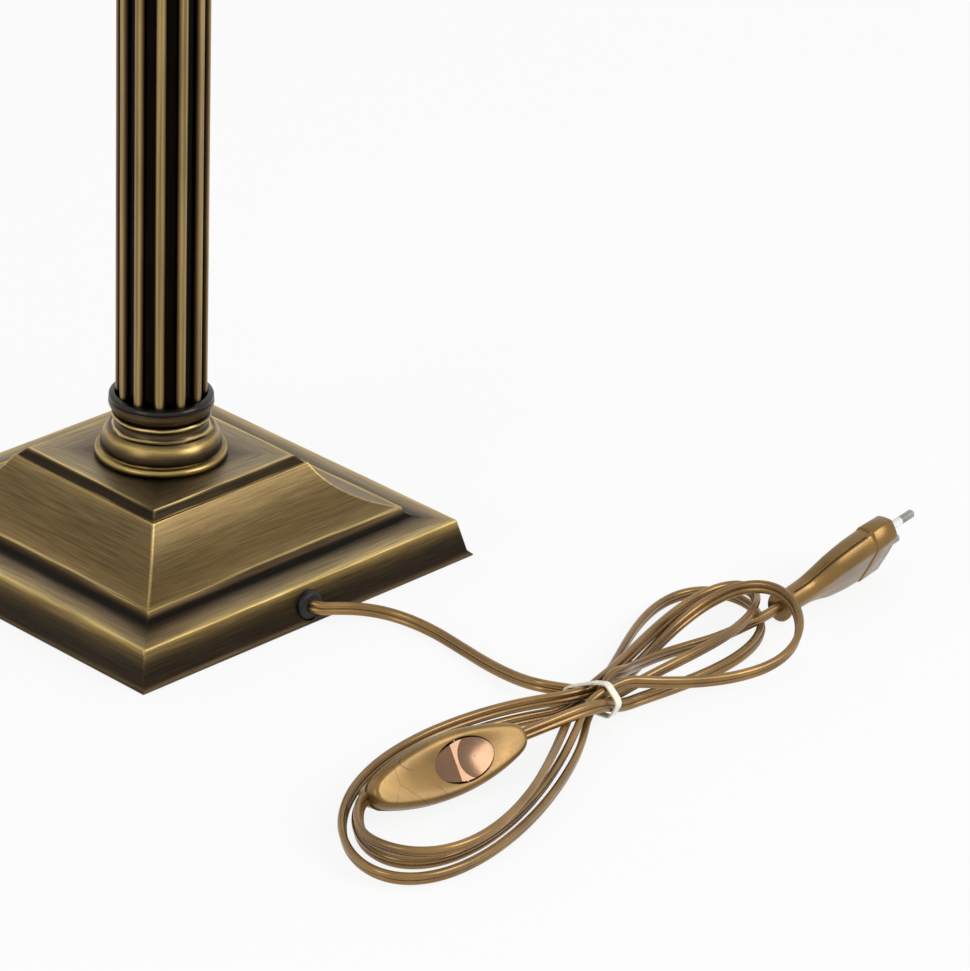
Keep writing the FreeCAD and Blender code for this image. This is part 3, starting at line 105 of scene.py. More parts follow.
# ------------------------------------------------------------------------ switch
SWITCH_L, SWITCH_W, SWITCH_END_W = 86.0, 27.0, 13.0
SWITCH_TIP = 4.0                   # the curved ends stand out this far
END_TAPER = 0.6                    # share of an inset by which the ends get slimmer
SWITCH_SPLIT, SWITCH_WALL = 6.6, 1.6
SWITCH_FACE = Vector((65.0, 252.2, 17.2))               # middle of its top face
SWITCH_TURN, SWITCH_LEAN = math.radians(-3.0), 57.0
SWITCH_WAY = Vector((-math.cos(SWITCH_TURN), -math.sin(SWITCH_TURN), 0))
SWITCH_CORD_D = 6.6                # the lead lies this far below the top face
SWITCH_IN = 38.0                   # its cut ends lie this far from the middle
SWITCH_ROUTE = (SWITCH_IN + 9.0, SWITCH_IN, 12.0, -12.0, -SWITCH_IN, -SWITCH_IN - 9.0)
END_STEPS, SIDE_STEPS = 8, 26      # divisions of the outline's arcs
OUTLINE_EASING = 3                 # rounds of easing at its corners
HOLE_X, HOLE_A, HOLE_B = 6.4, 15.7, 9.2                 # the rocker's opening
# edges of the cover: drawn in or grown by this much, at this height
HOLE_EDGE = [(0.0, -SWITCH_WALL), (0.0, -0.35), (0.1, -0.1), (0.35, 0.0)]
COVER_EDGE = [(3.3, 0.0), (2.7, -0.03), (2.1, -0.15), (1.55, -0.4), (1.05, -0.8), (0.65, -1.4),
              (0.35, -2.3), (0.14, -3.6), (0.03, -5.2), (0.0, -SWITCH_SPLIT)]
COVER_ROOM = [(SWITCH_WALL, -SWITCH_SPLIT), (SWITCH_WALL + 0.5, -3.4),
              (SWITCH_WALL + 2.4, -SWITCH_WALL)]

# -------------------------------------------------------------------------- plug
PLUG_L, PLUG_BODY_L, PLUG_FLANGE_T = 68.0, 54.4, 2.4
PLUG_REAR = Vector((-154.0, 236.4, 8.6))                # middle of the flange's back
PLUG_YAW, PLUG_PITCH, PLUG_LEAN = math.radians(1.2), math.radians(7.6), -61.0
PLUG_WAY = Vector((-math.cos(PLUG_YAW) * math.cos(PLUG_PITCH),
                   -math.sin(PLUG_YAW) * math.cos(PLUG_PITCH), math.sin(PLUG_PITCH)))
PLUG_CORD_IN = 5.0                 # the drawn lead ends this far inside
FLANGE_A, FLANGE_B = 8.8, 6.6
# flange: distance from the rear and share of its full size
FLANGE_ROWS = [(0.0, 0.84), (0.25, 0.94), (0.7, 1.0), (1.7, 1.0), (2.15, 0.94), (PLUG_FLANGE_T, 0.84)]
# body and head: distance from the rear, width, thickness, width of the sloping edge
PLUG_ROWS = [(PLUG_FLANGE_T, 12.8, 10.2, 3.4), (9.0, 12.8, 10.3, 3.4), (17.0, 13.8, 10.6, 3.5),
             (23.5, 18.6, 11.2, 3.9), (32.0, 26.6, 12.4, 4.4), (43.0, 31.8, 13.4, 4.6),
             (PLUG_BODY_L, 33.8, 13.7, 4.6)]
PLUG_HEAD = [(PLUG_BODY_L, 34.6, 14.2, 4.6), (PLUG_BODY_L + 0.5, 35.3, 14.4, 4.6),
             (PLUG_L - 0.8, 35.3, 13.8, 4.6), (PLUG_L - 0.2, 34.7, 13.2, 4.5), (PLUG_L, 33.6, 12.2, 4.4)]
PLUG_STEPS = 30                    # sections along the body
SEAM_STEPS = range(3, PLUG_STEPS - 1)                   # those that the seam cuts into
SEAM_DEPTH, SEAM_FLUSH = 0.75, 0.1
SEAM_LIP = (0.12, 0.38)            # edge of the seam, in from the side and up from its middle
EDGE_SWELL, FACE_CROWN = 0.5, 0.25
# rounded top of the sloping edge, in shares of its width and of half the thickness
EDGE_TOP = [(0.96, 0.925), (1.18, 0.985), (1.55, 1.0)]

# ----------------------------------------------------------------- patina and painted light, sRGB
# the brightest colour paints highlights: the thin bright bands on edges, beads and hips
HIGHLIGHT, GOLD, MID = (0.80, 0.70, 0.46), (0.66, 0.56, 0.34), (0.49, 0.41, 0.25)
BROWN, DARK, BLACK = (0.33, 0.28, 0.20), (0.20, 0.16, 0.12), (0.09, 0.07, 0.05)
# square forms: distance from the outer edge in and up the profile, to the middle. Patina darkens the
# hollows, and the thin bright bands on the edges are painted highlights.
BASE_ROWS = [(0.0, DARK), (2.4, BROWN), (4.0, DARK), (9.5, (0.18, 0.15, 0.11)),
             (14.5, (0.23, 0.19, 0.13)), (18.0, (0.33, 0.27, 0.17)), (21.5, (0.50, 0.42, 0.26)),
             (23.2, GOLD), (24.3, HIGHLIGHT), (25.8, (0.68, 0.60, 0.42)), (29.0, (0.58, 0.50, 0.36)),
             (33.5, (0.43, 0.37, 0.27)), (37.0, (0.25, 0.20, 0.15)), (39.2, BLACK),
             (42.5, (0.12, 0.10, 0.07)), (45.0, (0.24, 0.19, 0.14)), (46.8, (0.44, 0.37, 0.24)),
             (47.6, HIGHLIGHT), (49.5, (0.52, 0.43, 0.27)), (60.0, (0.43, 0.35, 0.22)),
             (78.0, (0.41, 0.34, 0.22)), (92.0, (0.43, 0.36, 0.24)), (97.0, (0.50, 0.42, 0.28)),
             (98.9, GOLD), (99.8, DARK), (104.5, (0.17, 0.14, 0.10)), (106.0, (0.30, 0.25, 0.17)),
             (106.6, HIGHLIGHT), (108.6, (0.60, 0.53, 0.40)), (116.0, (0.54, 0.48, 0.37)),
             # painted shade: the top plate darker towards the foot and under it
             (124.0, (0.38, 0.33, 0.25)), (148.5, DARK)]
ABACUS_ROWS = [(0.0, DARK), (3.0, BROWN), (4.0, HIGHLIGHT), (6.0, MID), (7.5, MID), (8.4, HIGHLIGHT),
               (11.0, MID), (41.0, BROWN)]
# strength of the painted highlight along the hips between two sides, by the same distance
BASE_HIPS = [(0.0, 0.0), (3.0, 0.05), (15.0, 0.12), (22.0, 0.35), (24.5, 0.6), (27.0, 0.12),
             (46.0, 0.10), (47.6, 0.8), (98.5, 0.8), (99.8, 0.1), (106.6, 0.4), (107.6, 0.0),
             (148.5, 0.0)]
ABACUS_HIPS = [(0.0, 0.1), (3.5, 0.4), (8.4, 0.4), (8.8, 0.0), (41.0, 0.0)]
# turned forms: height above their lower end; the capital is the foot upside down. Patina darkens the
# hollows; the thin bright bands on beads and edges are painted highlights, and the torus at the foot's
# lower end has a painted highlight round its middle with painted shade below it.
FOOT_ROWS = [(0.0, BLACK), (0.9, DARK), (2.2, MID), (3.3, GOLD), (4.2, MID), (4.8, BLACK),
             (6.2, DARK), (8.0, (0.26, 0.21, 0.15)), (9.8, (0.40, 0.33, 0.21)), (11.6, GOLD),
             (12.8, (0.44, 0.36, 0.23)), (13.7, BROWN), (14.1, HIGHLIGHT), (14.8, DARK), (16.5, BROWN),
             (18.2, DARK), (19.3, BROWN), (20.0, HIGHLIGHT), (20.7, DARK), (22.4, BROWN),
             (24.4, (0.42, 0.34, 0.22)), (26.0, BROWN), (27.6, DARK)]
FOOT_H = FOOT_ROWS[-1][0]
CAPITAL_ROWS = [(FOOT_H - v, colour) for v, colour in reversed(FOOT_ROWS)]
NECK_ROWS = [(0.0, DARK), (1.6, GOLD), (3.3, BLACK), (5.0, BROWN), (10.0, MID), (15.0, GOLD),
             (15.8, DARK), (16.6, HIGHLIGHT), (17.8, DARK), (21.0, MID), (25.4, GOLD), (26.0, DARK)]
# column: share of the way from the flutes' floors to the reeds' crests; near black in the flutes, patina
# with painted shade, and lightest near the crests as painted highlight, a little darker at the very crest
# between two painted highlights
FLUTE_R, CREST_R = 17.6, 20.5
COLUMN_STOPS = [(0.0, (0.06, 0.045, 0.03)), (0.38, (0.10, 0.075, 0.055)), (0.60, (0.25, 0.19, 0.13)),
                (0.78, (0.43, 0.34, 0.22)), (0.90, (0.62, 0.52, 0.33)), (0.97, (0.65, 0.56, 0.37)),
                (1.0, (0.50, 0.42, 0.28))]
# brushed grain: waves in a metre along a stroke and across it
FINE_GRAIN, COARSE_GRAIN = (48.0, 1900.0), (38.0, 640.0)
REED_GRAIN, TURNED_GRAIN = (22.0, 1500.0), 1400.0
HIP_BAND = (0.2 * MM, 1.4 * MM)    # a hip's painted highlight fades between these, from its middle

# ------------------------------------------------------------------------- cloth
SHADE_R = 130.0                    # mean radius of the shade
THREADS = (70.0, 1600.0)           # waves in a metre along a thread and across it
CLOTH_THROUGH = 0.30               # share of the cloth's light that comes through it


# ---------------------------------------------------------------------- helpers
def tilted_frame(at, along, lean):
    """Matrix whose X runs along the vector, with Y across and Z up leaning over
    by lean degrees towards +Y."""
    x = along.normalized()
    side = UP.cross(x).normalized()
    up = x.cross(side)
    c, s = math.cos(math.radians(lean)), math.sin(math.radians(lean))
    m = Matrix((x, side * c + up * s, up * c - side * s)).transposed().to_4x4()
    m.translation = at
    return m


SWITCH = tilted_frame(SWITCH_FACE, SWITCH_WAY, SWITCH_LEAN)
PLUG = tilted_frame(PLUG_REAR, PLUG_WAY, PLUG_LEAN)


def link(obj, body):
    """Puts a piece into the scene, riding on a body."""
    bpy.context.scene.collection.objects.link(obj)
    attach(obj, body)
    return obj


def mesh_piece(name, verts, faces, finishes):
    """Smooth mesh on the lamp's body, with one or more finishes."""
    data = bpy.data.meshes.new(name)
    data.from_pydata([tuple(v) for v in verts], [], faces)
    data.validate()
    for finish in finishes:
        data.materials.append(finish)
    data.shade_smooth()
    return link(bpy.data.objects.new(name, data), "lamp")


def ring_faces(rings, count, closed=False):
    """Quads between neighbouring rings of points."""
    faces = []
    for k in range(rings if closed else rings - 1):
        a, b = k * count, ((k + 1) % rings) * count
        faces += [(a + j, a + (j + 1) % count, b + (j + 1) % count, b + j) for j in range(count)]
    return faces


def end_faces(rings, count):
    """Caps on the first ring of points and on the last."""
    return [tuple(range(count))[::-1], tuple(range((rings - 1) * count, rings * count))]


def spline_curve(name, points):
    """NURBS curve with these control points, which are in millimetres."""
    data = bpy.data.curves.new(name, "CURVE")
    data.dimensions = "3D"
    spline = data.splines.new("NURBS")
    spline.points.add(len(points) - 1)
    for point, p in zip(spline.points, points):
        point.co = (*(Vector(p) * MM), 1.0)
    spline.order_u = 3
    spline.use_endpoint_u = True
    return data


# ------------------------------------------------------------------------- lead
def pass_end(place, side):
    """Offset and height of a pass at its +X end (side 1) or -X end (side -1)."""
    return place[:2] if side > 0 else place[2:]


def loop_point(loop, t, start, end):
    """Point at share t of one loop of the hank.  A loop leaves the tie at one
    pass, swells to its reach and spread, and comes back to the tie at the next."""
    side, reach, spread, waist, lean, bow, skew, out, back, over, over_at, over_w = loop
    y0, z0 = pass_end(start, side)
    y1, z1 = pass_end(end, side)
    s = math.sin(math.pi * t)
    u = reach * s * s
    v = spread * math.sin(2 * math.pi * t) * s ** waist if s > 1e-9 else 0.0
    u, v = u + skew * v, v + bow * u * u / reach
    x = u * math.cos(lean) - v * math.sin(lean)
    y = u * math.sin(lean) + v * math.cos(lean)
    w = 0.5 - 0.5 * math.cos(math.pi * t)
    fall = math.sin(math.pi / 2 * min(1.0, s / LOOP_FALL)) ** 2
    lie = out + (back - out) * w + over * math.exp(-((t - over_at) / over_w) ** 2)
    z = z0 + (z1 - z0) * w
    z += (lie - z) * fall
    return Vector((TIE_AT.x + side * (TIE_HALF + x), TIE_AT.y + y0 + (y1 - y0) * w + y, z))


def loop_row(loop, start, end, first=0, last=LOOP_POINTS):
    """Control points of a loop; those next to its two ends are left out."""
    return [loop_point(loop, k / LOOP_POINTS, start, end) for k in range(first, last + 1)
            if k not in (1, LOOP_POINTS - 1)]


def route():
    """Control points of the lead from the grommet to the plug, in millimetres."""
    points = [Vector(p) for p in LEAD]
    points += loop_row(LOOP_RIGHT_1, PASS_LEAD, PASS_A)
    points += loop_row(LOOP_SWITCH, PASS_A, PASS_A, last=0)
    points += [SWITCH @ Vector((x, 0, -SWITCH_CORD_D)) for x in SWITCH_ROUTE]
    points += loop_row(LOOP_SWITCH, PASS_A, PASS_B, first=LOOP_POINTS // 2)
    points += loop_row(LOOP_RIGHT_2, PASS_B, PASS_C)
    points += loop_row(LOOP_LEFT_2, PASS_C, PASS_D)
    points += loop_row(LOOP_RIGHT_3, PASS_D, PASS_E)
    points += loop_row(LOOP_LEFT_3, PASS_E, PASS_PLUG)
    away_y, away_z = pass_end(PASS_PLUG, -1)
    points.append(Vector((TIE_AT.x - TIE_HALF, TIE_AT.y + away_y, away_z)))
    points += [Vector(p) for p in PLUG_RUN]
    points += [PLUG_REAR, PLUG_REAR + PLUG_WAY * PLUG_CORD_IN]
    return points


def spline_points(name, points):
    """Points along the NURBS curve that has these control points, in metres."""
    data = spline_curve(name, points)
    data.resolution_u = ROUTE_STEPS
    holder = bpy.data.objects.new(name, data)
    flat = bpy.data.meshes.new_from_object(holder)
    along = [v.co.copy() for v in flat.vertices]
    bpy.data.meshes.remove(flat)
    bpy.data.objects.remove(holder)
    bpy.data.curves.remove(data)
    return along


def twin_section():
    """Outline of two cores side by side, across (width) and through (thickness),
    with a groove between them on both broad sides."""
    reach = math.acos((GROOVE_HALF - CORE_OFF) / CORE_R)
    outline = []
    for side in (1, -1):
        for k in range(CORE_POINTS):
            a = reach * (2 * k / (CORE_POINTS - 1) - 1)
            outline.append((side * (CORE_OFF + CORE_R * math.cos(a)), side * CORE_R * math.sin(a)))
        outline.append((0.0, side * (CORE_R - GROOVE_DEPTH)))
    return outline


def lean_at(share):
    """Lean of the flat lead at a share of its length, in degrees, eased."""
    for (a, lean_a), (b, lean_b) in zip(LEANS, LEANS[1:]):
        if a <= share <= b:
            w = (share - a) / (b - a)
            return lean_a + (lean_b - lean_a) * w * w * (3 - 2 * w)
    return LEANS[-1][1]


def twin_lead(name, line, finish, groove_shade_finish):
    """Flat twin lead swept along the points, its broad side near upright, with painted shade on the faces
    in its grooves.
    """
    section = twin_section()
    n = len(section)
    run = [0.0]
    for a, b in zip(line, line[1:]):
        run.append(run[-1] + (b - a).length)
    verts = []
    for k, p in enumerate(line):
        way = (line[min(k + 1, len(line) - 1)] - line[max(k - 1, 0)]).normalized()
        side = way.cross(UP).normalized()
        up = side.cross(way)
        lean = math.radians(lean_at(run[k] / run[-1]))
        wide = up * math.cos(lean) + side * math.sin(lean)
        thin = way.cross(wide)
        verts += [p + (wide * x + thin * y) * MM for x, y in section]
    faces = ring_faces(len(line), n) + end_faces(len(line), n)
    piece = mesh_piece(name, verts, faces, (finish, groove_shade_finish))
    # painted shade: the faces beside the groove points take the second finish, a darker brown
    grooves = [j for j in range(n) if 0.0 in (section[j][0], section[(j + 1) % n][0])]
    for k in range(len(line) - 1):
        for j in grooves:
            piece.data.polygons[k * n + j].material_index = 1
    return piece, run[-1]


def inner_wires(finish):
    """Lead inside the lamp, from the grommet up to the lampholder."""
    data = spline_curve("inner lead", INNER)
    data.bevel_depth = INNER_R * MM
    data.bevel_resolution = 3
    data.materials.append(finish)
    piece = link(bpy.data.objects.new("inner_wires", data), "lamp")
    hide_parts("inner_lead")


# --------------------------------------------------------------- plug and switch
def along_rows(rows, x):
    """Values at x on a smooth curve through the rows, whose first value is x."""
    k = 0
    while k < len(rows) - 2 and x > rows[k + 1][0]:
        k += 1
    a, b = rows[k], rows[k + 1]
    before, after = rows[max(k - 1, 0)], rows[min(k + 2, len(rows) - 1)]
    step = b[0] - a[0]
    t = (x - a[0]) / step
    values = []
    for i in range(1, len(a)):
        go = (b[i] - before[i]) / (b[0] - before[0]) * step
        come = (after[i] - a[i]) / (after[0] - a[0]) * step
        values.append(a[i] * (2 * t ** 3 - 3 * t * t + 1) + b[i] * (3 * t * t - 2 * t ** 3)
                      + go * (t ** 3 - 2 * t * t + t) + come * (t ** 3 - t * t))
    return values


def plug_outline(width, thick, slope, seam):
    """Section of the plug: flat sides, sloping edges and a seam of the given
    depth on each edge, from the +Y seam round over +Z."""
    a, b = width / 2, thick / 2
    flat = a - slope * EDGE_TOP[-1][0]
    quarter = [(a - seam, 0.0), (a - SEAM_LIP[0], SEAM_LIP[1])]
    quarter += [(a - slope * t + EDGE_SWELL * math.sin(math.pi * t), b * t) for t in (0.2, 0.4, 0.6, 0.8)]
    quarter += [(a - slope * share_in, b * share_up) for share_in, share_up in EDGE_TOP]
    quarter += [(flat * t, b + FACE_CROWN * (1 - t)) for t in (0.66, 0.33, 0.0)]
    left = [(-y, z) for y, z in reversed(quarter[:-1])]
    return (quarter + left + [(-y, -z) for y, z in quarter[1:]]
            + [(y, -z) for y, z in reversed(quarter[1:-1])])


def plug_ring(x, width, thick, slope, seam):
    """Section of the plug at a distance from its rear."""
    return [(x, y, z) for y, z in plug_outline(width, thick, slope, seam)]


def plug_piece(finish, seam_shade_finish):
    """Moulded plug: finger flange, slim neck, swelling body and head, with painted shade in the seam's
    groove.
    """
    first, last = PLUG_ROWS[0][0], PLUG_ROWS[-1][0]
    body = []
    for k in range(PLUG_STEPS + 1):
        x = first + (last - first) * k / PLUG_STEPS
        seam = SEAM_DEPTH if k in SEAM_STEPS else SEAM_FLUSH
        body.append(plug_ring(x, *along_rows(PLUG_ROWS, x), seam))
    head = [plug_ring(*row, SEAM_FLUSH) for row in PLUG_HEAD]
    count = len(body[0])
    turns = [2 * math.pi * k / count for k in range(count)]
    flange = [[(x, FLANGE_A * share * math.cos(t), FLANGE_B * share * math.sin(t)) for t in turns]
              for x, share in FLANGE_ROWS]
    rings = flange + body + head
    verts = [(PLUG @ Vector(p)) * MM for ring in rings for p in ring]
    faces = ring_faces(len(rings), count) + end_faces(len(rings), count)
    piece = mesh_piece("plug", verts, [f[::-1] for f in faces], (finish, seam_shade_finish))
    # painted shade: the faces that form the seam's groove take the second finish, a dark brown
    for k in SEAM_STEPS[:-1]:
        for j in (0, count // 2 - 1, count // 2, count - 1):
            piece.data.polygons[(len(flange) + k) * count + j].material_index = 1
    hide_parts("plug_body")


def boat_outline(inset):
    """Pointed oval outline of the switch, drawn in by inset, corners eased."""
    a, b, e = SWITCH_L / 2 - inset, SWITCH_W / 2 - inset, SWITCH_END_W / 2 - inset * END_TAPER
    s = a - SWITCH_TIP
    side_r = (s * s + (b - e) ** 2) / (2 * (b - e))
    end_r = (e * e + (a - s) ** 2) / (2 * (a - s))
    side_turn, end_turn = math.asin(s / side_r), math.asin(min(1.0, e / end_r))
    pts = []
    for k in range(END_STEPS + 1):
        t = end_turn * (2 * k / END_STEPS - 1)
        pts.append((a - end_r + end_r * math.cos(t), end_r * math.sin(t)))
    for k in range(1, SIDE_STEPS):
        t = side_turn * (1 - 2 * k / SIDE_STEPS)
        pts.append((side_r * math.sin(t), b - side_r + side_r * math.cos(t)))
    pts += [(-x, -y) for x, y in pts]
    for _ in range(OUTLINE_EASING):
        nexts = pts[1:] + pts[:1]
        pts = [((pts[k - 1][0] + 2 * x + nexts[k][0]) / 4, (pts[k - 1][1] + 2 * y + nexts[k][1]) / 4)
               for k, (x, y) in enumerate(pts)]
    return pts


def switch_cover_piece(finish):
    """Top shell of the switch with a soft rim and the rocker's opening."""
    turns = [math.atan2(y / SWITCH_W, (x - HOLE_X) / SWITCH_L) for x, y in boat_outline(0.0)]
    rings = [[(HOLE_X + (HOLE_A + grow) * math.cos(t), (HOLE_B + grow) * math.sin(t), z) for t in turns]
             for grow, z in HOLE_EDGE]
    rings += [[(x, y, z) for x, y in boat_outline(inset)] for inset, z in COVER_EDGE + COVER_ROOM]
    verts = [(SWITCH @ Vector(p)) * MM for ring in rings for p in ring]
    faces = ring_faces(len(rings), len(turns), closed=True)
    piece = mesh_piece("switch_top", verts, [f[::-1] for f in faces], (finish,))
    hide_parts("switch_cover")


# --------------------------------------------------------------- material helpers
def linear(v):
    """Linear value of an sRGB one."""
    return v / 12.92 if v <= 0.04045 else ((v + 0.055) / 1.055) ** 2.4


def rgb(r, g, b):
    """Opaque linear colour of an sRGB one."""
    return (linear(r), linear(g), linear(b), 1.0)


def scaled(colour, share):
    """Colour made darker or lighter by a share."""
    return tuple(min(1.0, c * share) for c in colour)


def put(tree, value, socket):
    """Links a socket to the value's, or sets the socket to the value."""
    if isinstance(value, bpy.types.NodeSocket):
        tree.links.new(value, socket)
    else:
        socket.default_value = value


def mix_shaders(tree, share, first, second, output):
    """Sends a mix of two shaders to the output node."""
    both = tree.nodes.new("ShaderNodeMixShader")
    for value, socket in zip((share, first.outputs[0], second.outputs[0]), both.inputs):
        put(tree, value, socket)
    tree.links.new(both.outputs[0], output.inputs[0])


def seen_rays(tree):
    """1 on camera, glossy and transmission rays."""
    path = tree.nodes.new("ShaderNodeLightPath")
    total = path.outputs["Is Camera Ray"]
    for name in ("Is Glossy Ray", "Is Transmission Ray"):
        pick = tree.nodes.new("ShaderNodeMath")
        pick.operation = "MAXIMUM"
        tree.links.new(total, pick.inputs[0])
        tree.links.new(path.outputs[name], pick.inputs[1])
        total = pick.outputs[0]
    return total


class Paint:
    """A node material with short helpers; at is the point in the part's own
    frame, in metres, and x, y and z are its parts."""
    def __init__(self, name):
        self.mat = bpy.data.materials.new(name)
        self.mat.use_nodes = True
        self.tree = self.mat.node_tree
        self.shader = self.tree.nodes["Principled BSDF"]
        self.output = self.tree.nodes["Material Output"]
        self.at = self.node("TexCoord").outputs["Object"]
        parts = self.node("SeparateXYZ")
        self.put(self.at, parts.inputs[0])
        self.x, self.y, self.z = parts.outputs

    def node(self, kind, **props):
        """New node of a kind, with its properties."""
        n = self.tree.nodes.new("ShaderNode" + kind)
        for key, value in props.items():
            setattr(n, key, value)
        return n

    def put(self, value, socket):
        put(self.tree, value, socket)

    def set(self, **values):
        """Values of the shader's sockets, with _ for the spaces in their names."""
        for key, value in values.items():
            self.put(value, self.shader.inputs[key.replace("_", " ")])

    def calc(self, op, *values):
        """Result of a math node."""
        n = self.node("Math", operation=op)
        for value, socket in zip(values, n.inputs):
            self.put(value, socket)
        return n.outputs[0]

    def plus(self, a, b):
        return self.calc("ADD", a, b)

    def less(self, a, b):
        return self.calc("SUBTRACT", a, b)

    def times(self, a, b):
        return self.calc("MULTIPLY", a, b)

    def radius(self):
        """Distance from the upright axis."""
        return self.calc("SQRT", self.plus(self.times(self.x, self.x), self.times(self.y, self.y)))

    def angle(self):
        """Turn round the upright axis, in radians."""
        return self.calc("ARCTAN2", self.y, self.x)

    def vector(self, x, y, z):
        n = self.node("CombineXYZ")
        for value, socket in zip((x, y, z), n.inputs):
            self.put(value, socket)
        return n.outputs[0]

    def grey(self, value):
        n = self.node("CombineColor")
        for socket in n.inputs:
            self.put(value, socket)
        return n.outputs[0]

    def noise(self, vector, scale, detail=2.0, rough=0.5, output="Fac"):
        n = self.node("TexNoise")
        self.put(vector, n.inputs["Vector"])
        n.inputs["Scale"].default_value = scale
        n.inputs["Detail"].default_value = detail
        n.inputs["Roughness"].default_value = rough
        return n.outputs[output]

    def remap(self, value, low, high, at_low=0.0, at_high=1.0, easing="LINEAR"):
        """Value clamped from low to high and spread from at_low to at_high."""
        n = self.node("MapRange", interpolation_type=easing)
        for v, socket in zip((value, low, high, at_low, at_high), n.inputs):
            self.put(v, socket)
        return n.outputs[0]

    def wander(self, vector, scale, reach):
        """Noise from -reach to reach."""
        return self.remap(self.noise(vector, scale), 0.3, 0.7, -reach, reach)

    def ramp(self, value, stops):
        """Colours, given as sRGB, between stops of (place, colour)."""
        n = self.node("ValToRGB")
        self.put(value, n.inputs[0])
        elements = n.color_ramp.elements
        while len(elements) > 1:
            elements.remove(elements[0])
        elements[0].position = stops[0][0]
        elements[0].color = rgb(*stops[0][1])
        for at, colour in stops[1:]:
            elements.new(at).color = rgb(*colour)
        return n.outputs[0]

    def mix(self, share, a, b, blend="MIX"):
        """Mix of two colours, by the node's colour sockets."""
        n = self.node("Mix", data_type="RGBA", blend_type=blend)
        self.put(share, n.inputs[0])
        self.put(a, n.inputs[6])
        self.put(b, n.inputs[7])
        return n.outputs[2]

    def bump(self, height, depth, strength):
        n = self.node("Bump")
        n.inputs["Distance"].default_value = depth
        n.inputs["Strength"].default_value = strength
        self.put(height, n.inputs["Height"])
        self.put(n.outputs[0], self.shader.inputs["Normal"])


# ------------------------------------------------------------------ brass finishes
def shares(rows):
    """Rows of (distance, value) with the distance as a share of the last one."""
    return [(distance / rows[-1][0], value) for distance, value in rows]


def brushed(p, colour, grain, tone, rough, coarse=None):
    """Finish shared by the brass parts: patina and painted light colour under brushed grain, with
    tone as the grain's contrast and rough as the metal's roughness."""
    fine = p.noise(grain, 1.0, 3.0, 0.6)
    broad = p.noise(p.at, 22.0, 3.0)
    shade = p.plus(p.remap(fine, 0.25, 0.75, 1.0 - tone, 1.0 + tone * 0.8),
                   p.remap(broad, 0.3, 0.7, -0.10, 0.08))
    if coarse is not None:
        shade = p.plus(shade, p.remap(p.noise(coarse, 1.0), 0.3, 0.7, -0.22, 0.16))
    p.set(Base_Color=p.mix(1.0, colour, p.grey(shade), "MULTIPLY"), Metallic=1.0,
          Roughness=p.remap(fine, 0.2, 0.8, rough - 0.05, rough + 0.14))
    p.bump(fine, 0.00012, 0.35)
    return p.mat


def square_brass(name, rows, hips, half, z0):
    """Antiqued brass on a square form, whose outer edge is half its side away
    at height z0: the patina, with painted highlights and painted shade, follows the
    profile, the grain runs along each side and the hips carry a painted highlight."""
    p = Paint(name)
    ax, ay = p.calc("ABSOLUTE", p.x), p.calc("ABSOLUTE", p.y)
    profile = p.plus(p.less(half - z0, p.calc("MAXIMUM", ax, ay)), p.z)
    on_x = p.calc("GREATER_THAN", ax, ay)
    run = p.calc("MULTIPLY_ADD", p.less(p.y, p.x), on_x, p.x)
    wobble = p.wander(p.vector(p.times(run, 14.0), p.times(profile, 120.0), on_x), 1.0, 0.9 * MM)
    place = p.remap(p.plus(profile, wobble), 0.0, rows[-1][0] * MM)
    # painted highlight along the hips, strongest on their middle line, its strength set by the profile
    apart = p.calc("ABSOLUTE", p.less(ax, ay))
    ridge = p.remap(apart, *HIP_BAND, 1.0, 0.0, "SMOOTHSTEP")
    hip_highlight = p.ramp(place, [(at, (v, v, v)) for at, v in shares(hips)])
    colour = p.mix(p.times(ridge, hip_highlight), p.ramp(place, shares(rows)), rgb(*HIGHLIGHT))

    def grain(waves, side_shift):
        along, across = waves
        return p.vector(p.times(run, along), p.times(profile, across), p.times(on_x, side_shift))

    return brushed(p, colour, grain(FINE_GRAIN, 9.0), 0.34, 0.36, grain(COARSE_GRAIN, 5.0))


def turned_brass(name, rows, node):
    """Antiqued brass on a turned node: patina with painted highlights and painted shade by height, grain
    round the axis.
    """
    p = Paint(name)
    low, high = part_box(node)
    height = p.plus(p.z, p.wander(p.at, 60.0, 0.4 * MM))
    colour = p.ramp(p.remap(height, low.z, high.z), shares(rows))
    grain = p.vector(p.times(p.radius(), TURNED_GRAIN), p.times(p.z, TURNED_GRAIN), p.times(p.angle(), 3.0))
    return brushed(p, colour, grain, 0.24, 0.30)


def column_brass(name):
    """Reeded column: crests lightened as painted highlight, nearly black flutes of patina and painted
    shade, grain along the reeds.
    """
    p = Paint(name)
    along, across = REED_GRAIN
    grain = p.vector(p.times(p.x, across), p.times(p.y, across), p.times(p.z, along))
    r = p.plus(p.radius(), p.wander(grain, 0.35, 0.08 * MM))
    colour = p.ramp(p.remap(r, FLUTE_R * MM, CREST_R * MM), COLUMN_STOPS)
    return brushed(p, colour, grain, 0.26, 0.32)


# ------------------------------------------------------------------ other finishes
def plain(name, colour, metallic=0.0, rough=0.5, tone=0.12, scale=90.0, depth=0.0001, **more):
    """One colour with a fine mottle in tone, gloss and surface."""
    p = Paint(name)
    mottle = p.noise(p.at, scale, 4.0)
    fine = p.noise(p.at, scale * 7.0)
    stops = [(0.0, scaled(colour, 1.0 - tone)), (1.0, scaled(colour, 1.0 + tone))]
    p.set(Base_Color=p.ramp(p.remap(mottle, 0.3, 0.7), stops), Metallic=metallic,
          Roughness=p.remap(fine, 0.3, 0.7, rough * 0.88, rough * 1.12), **more)
    p.bump(fine, depth, 0.25)
    return p.mat


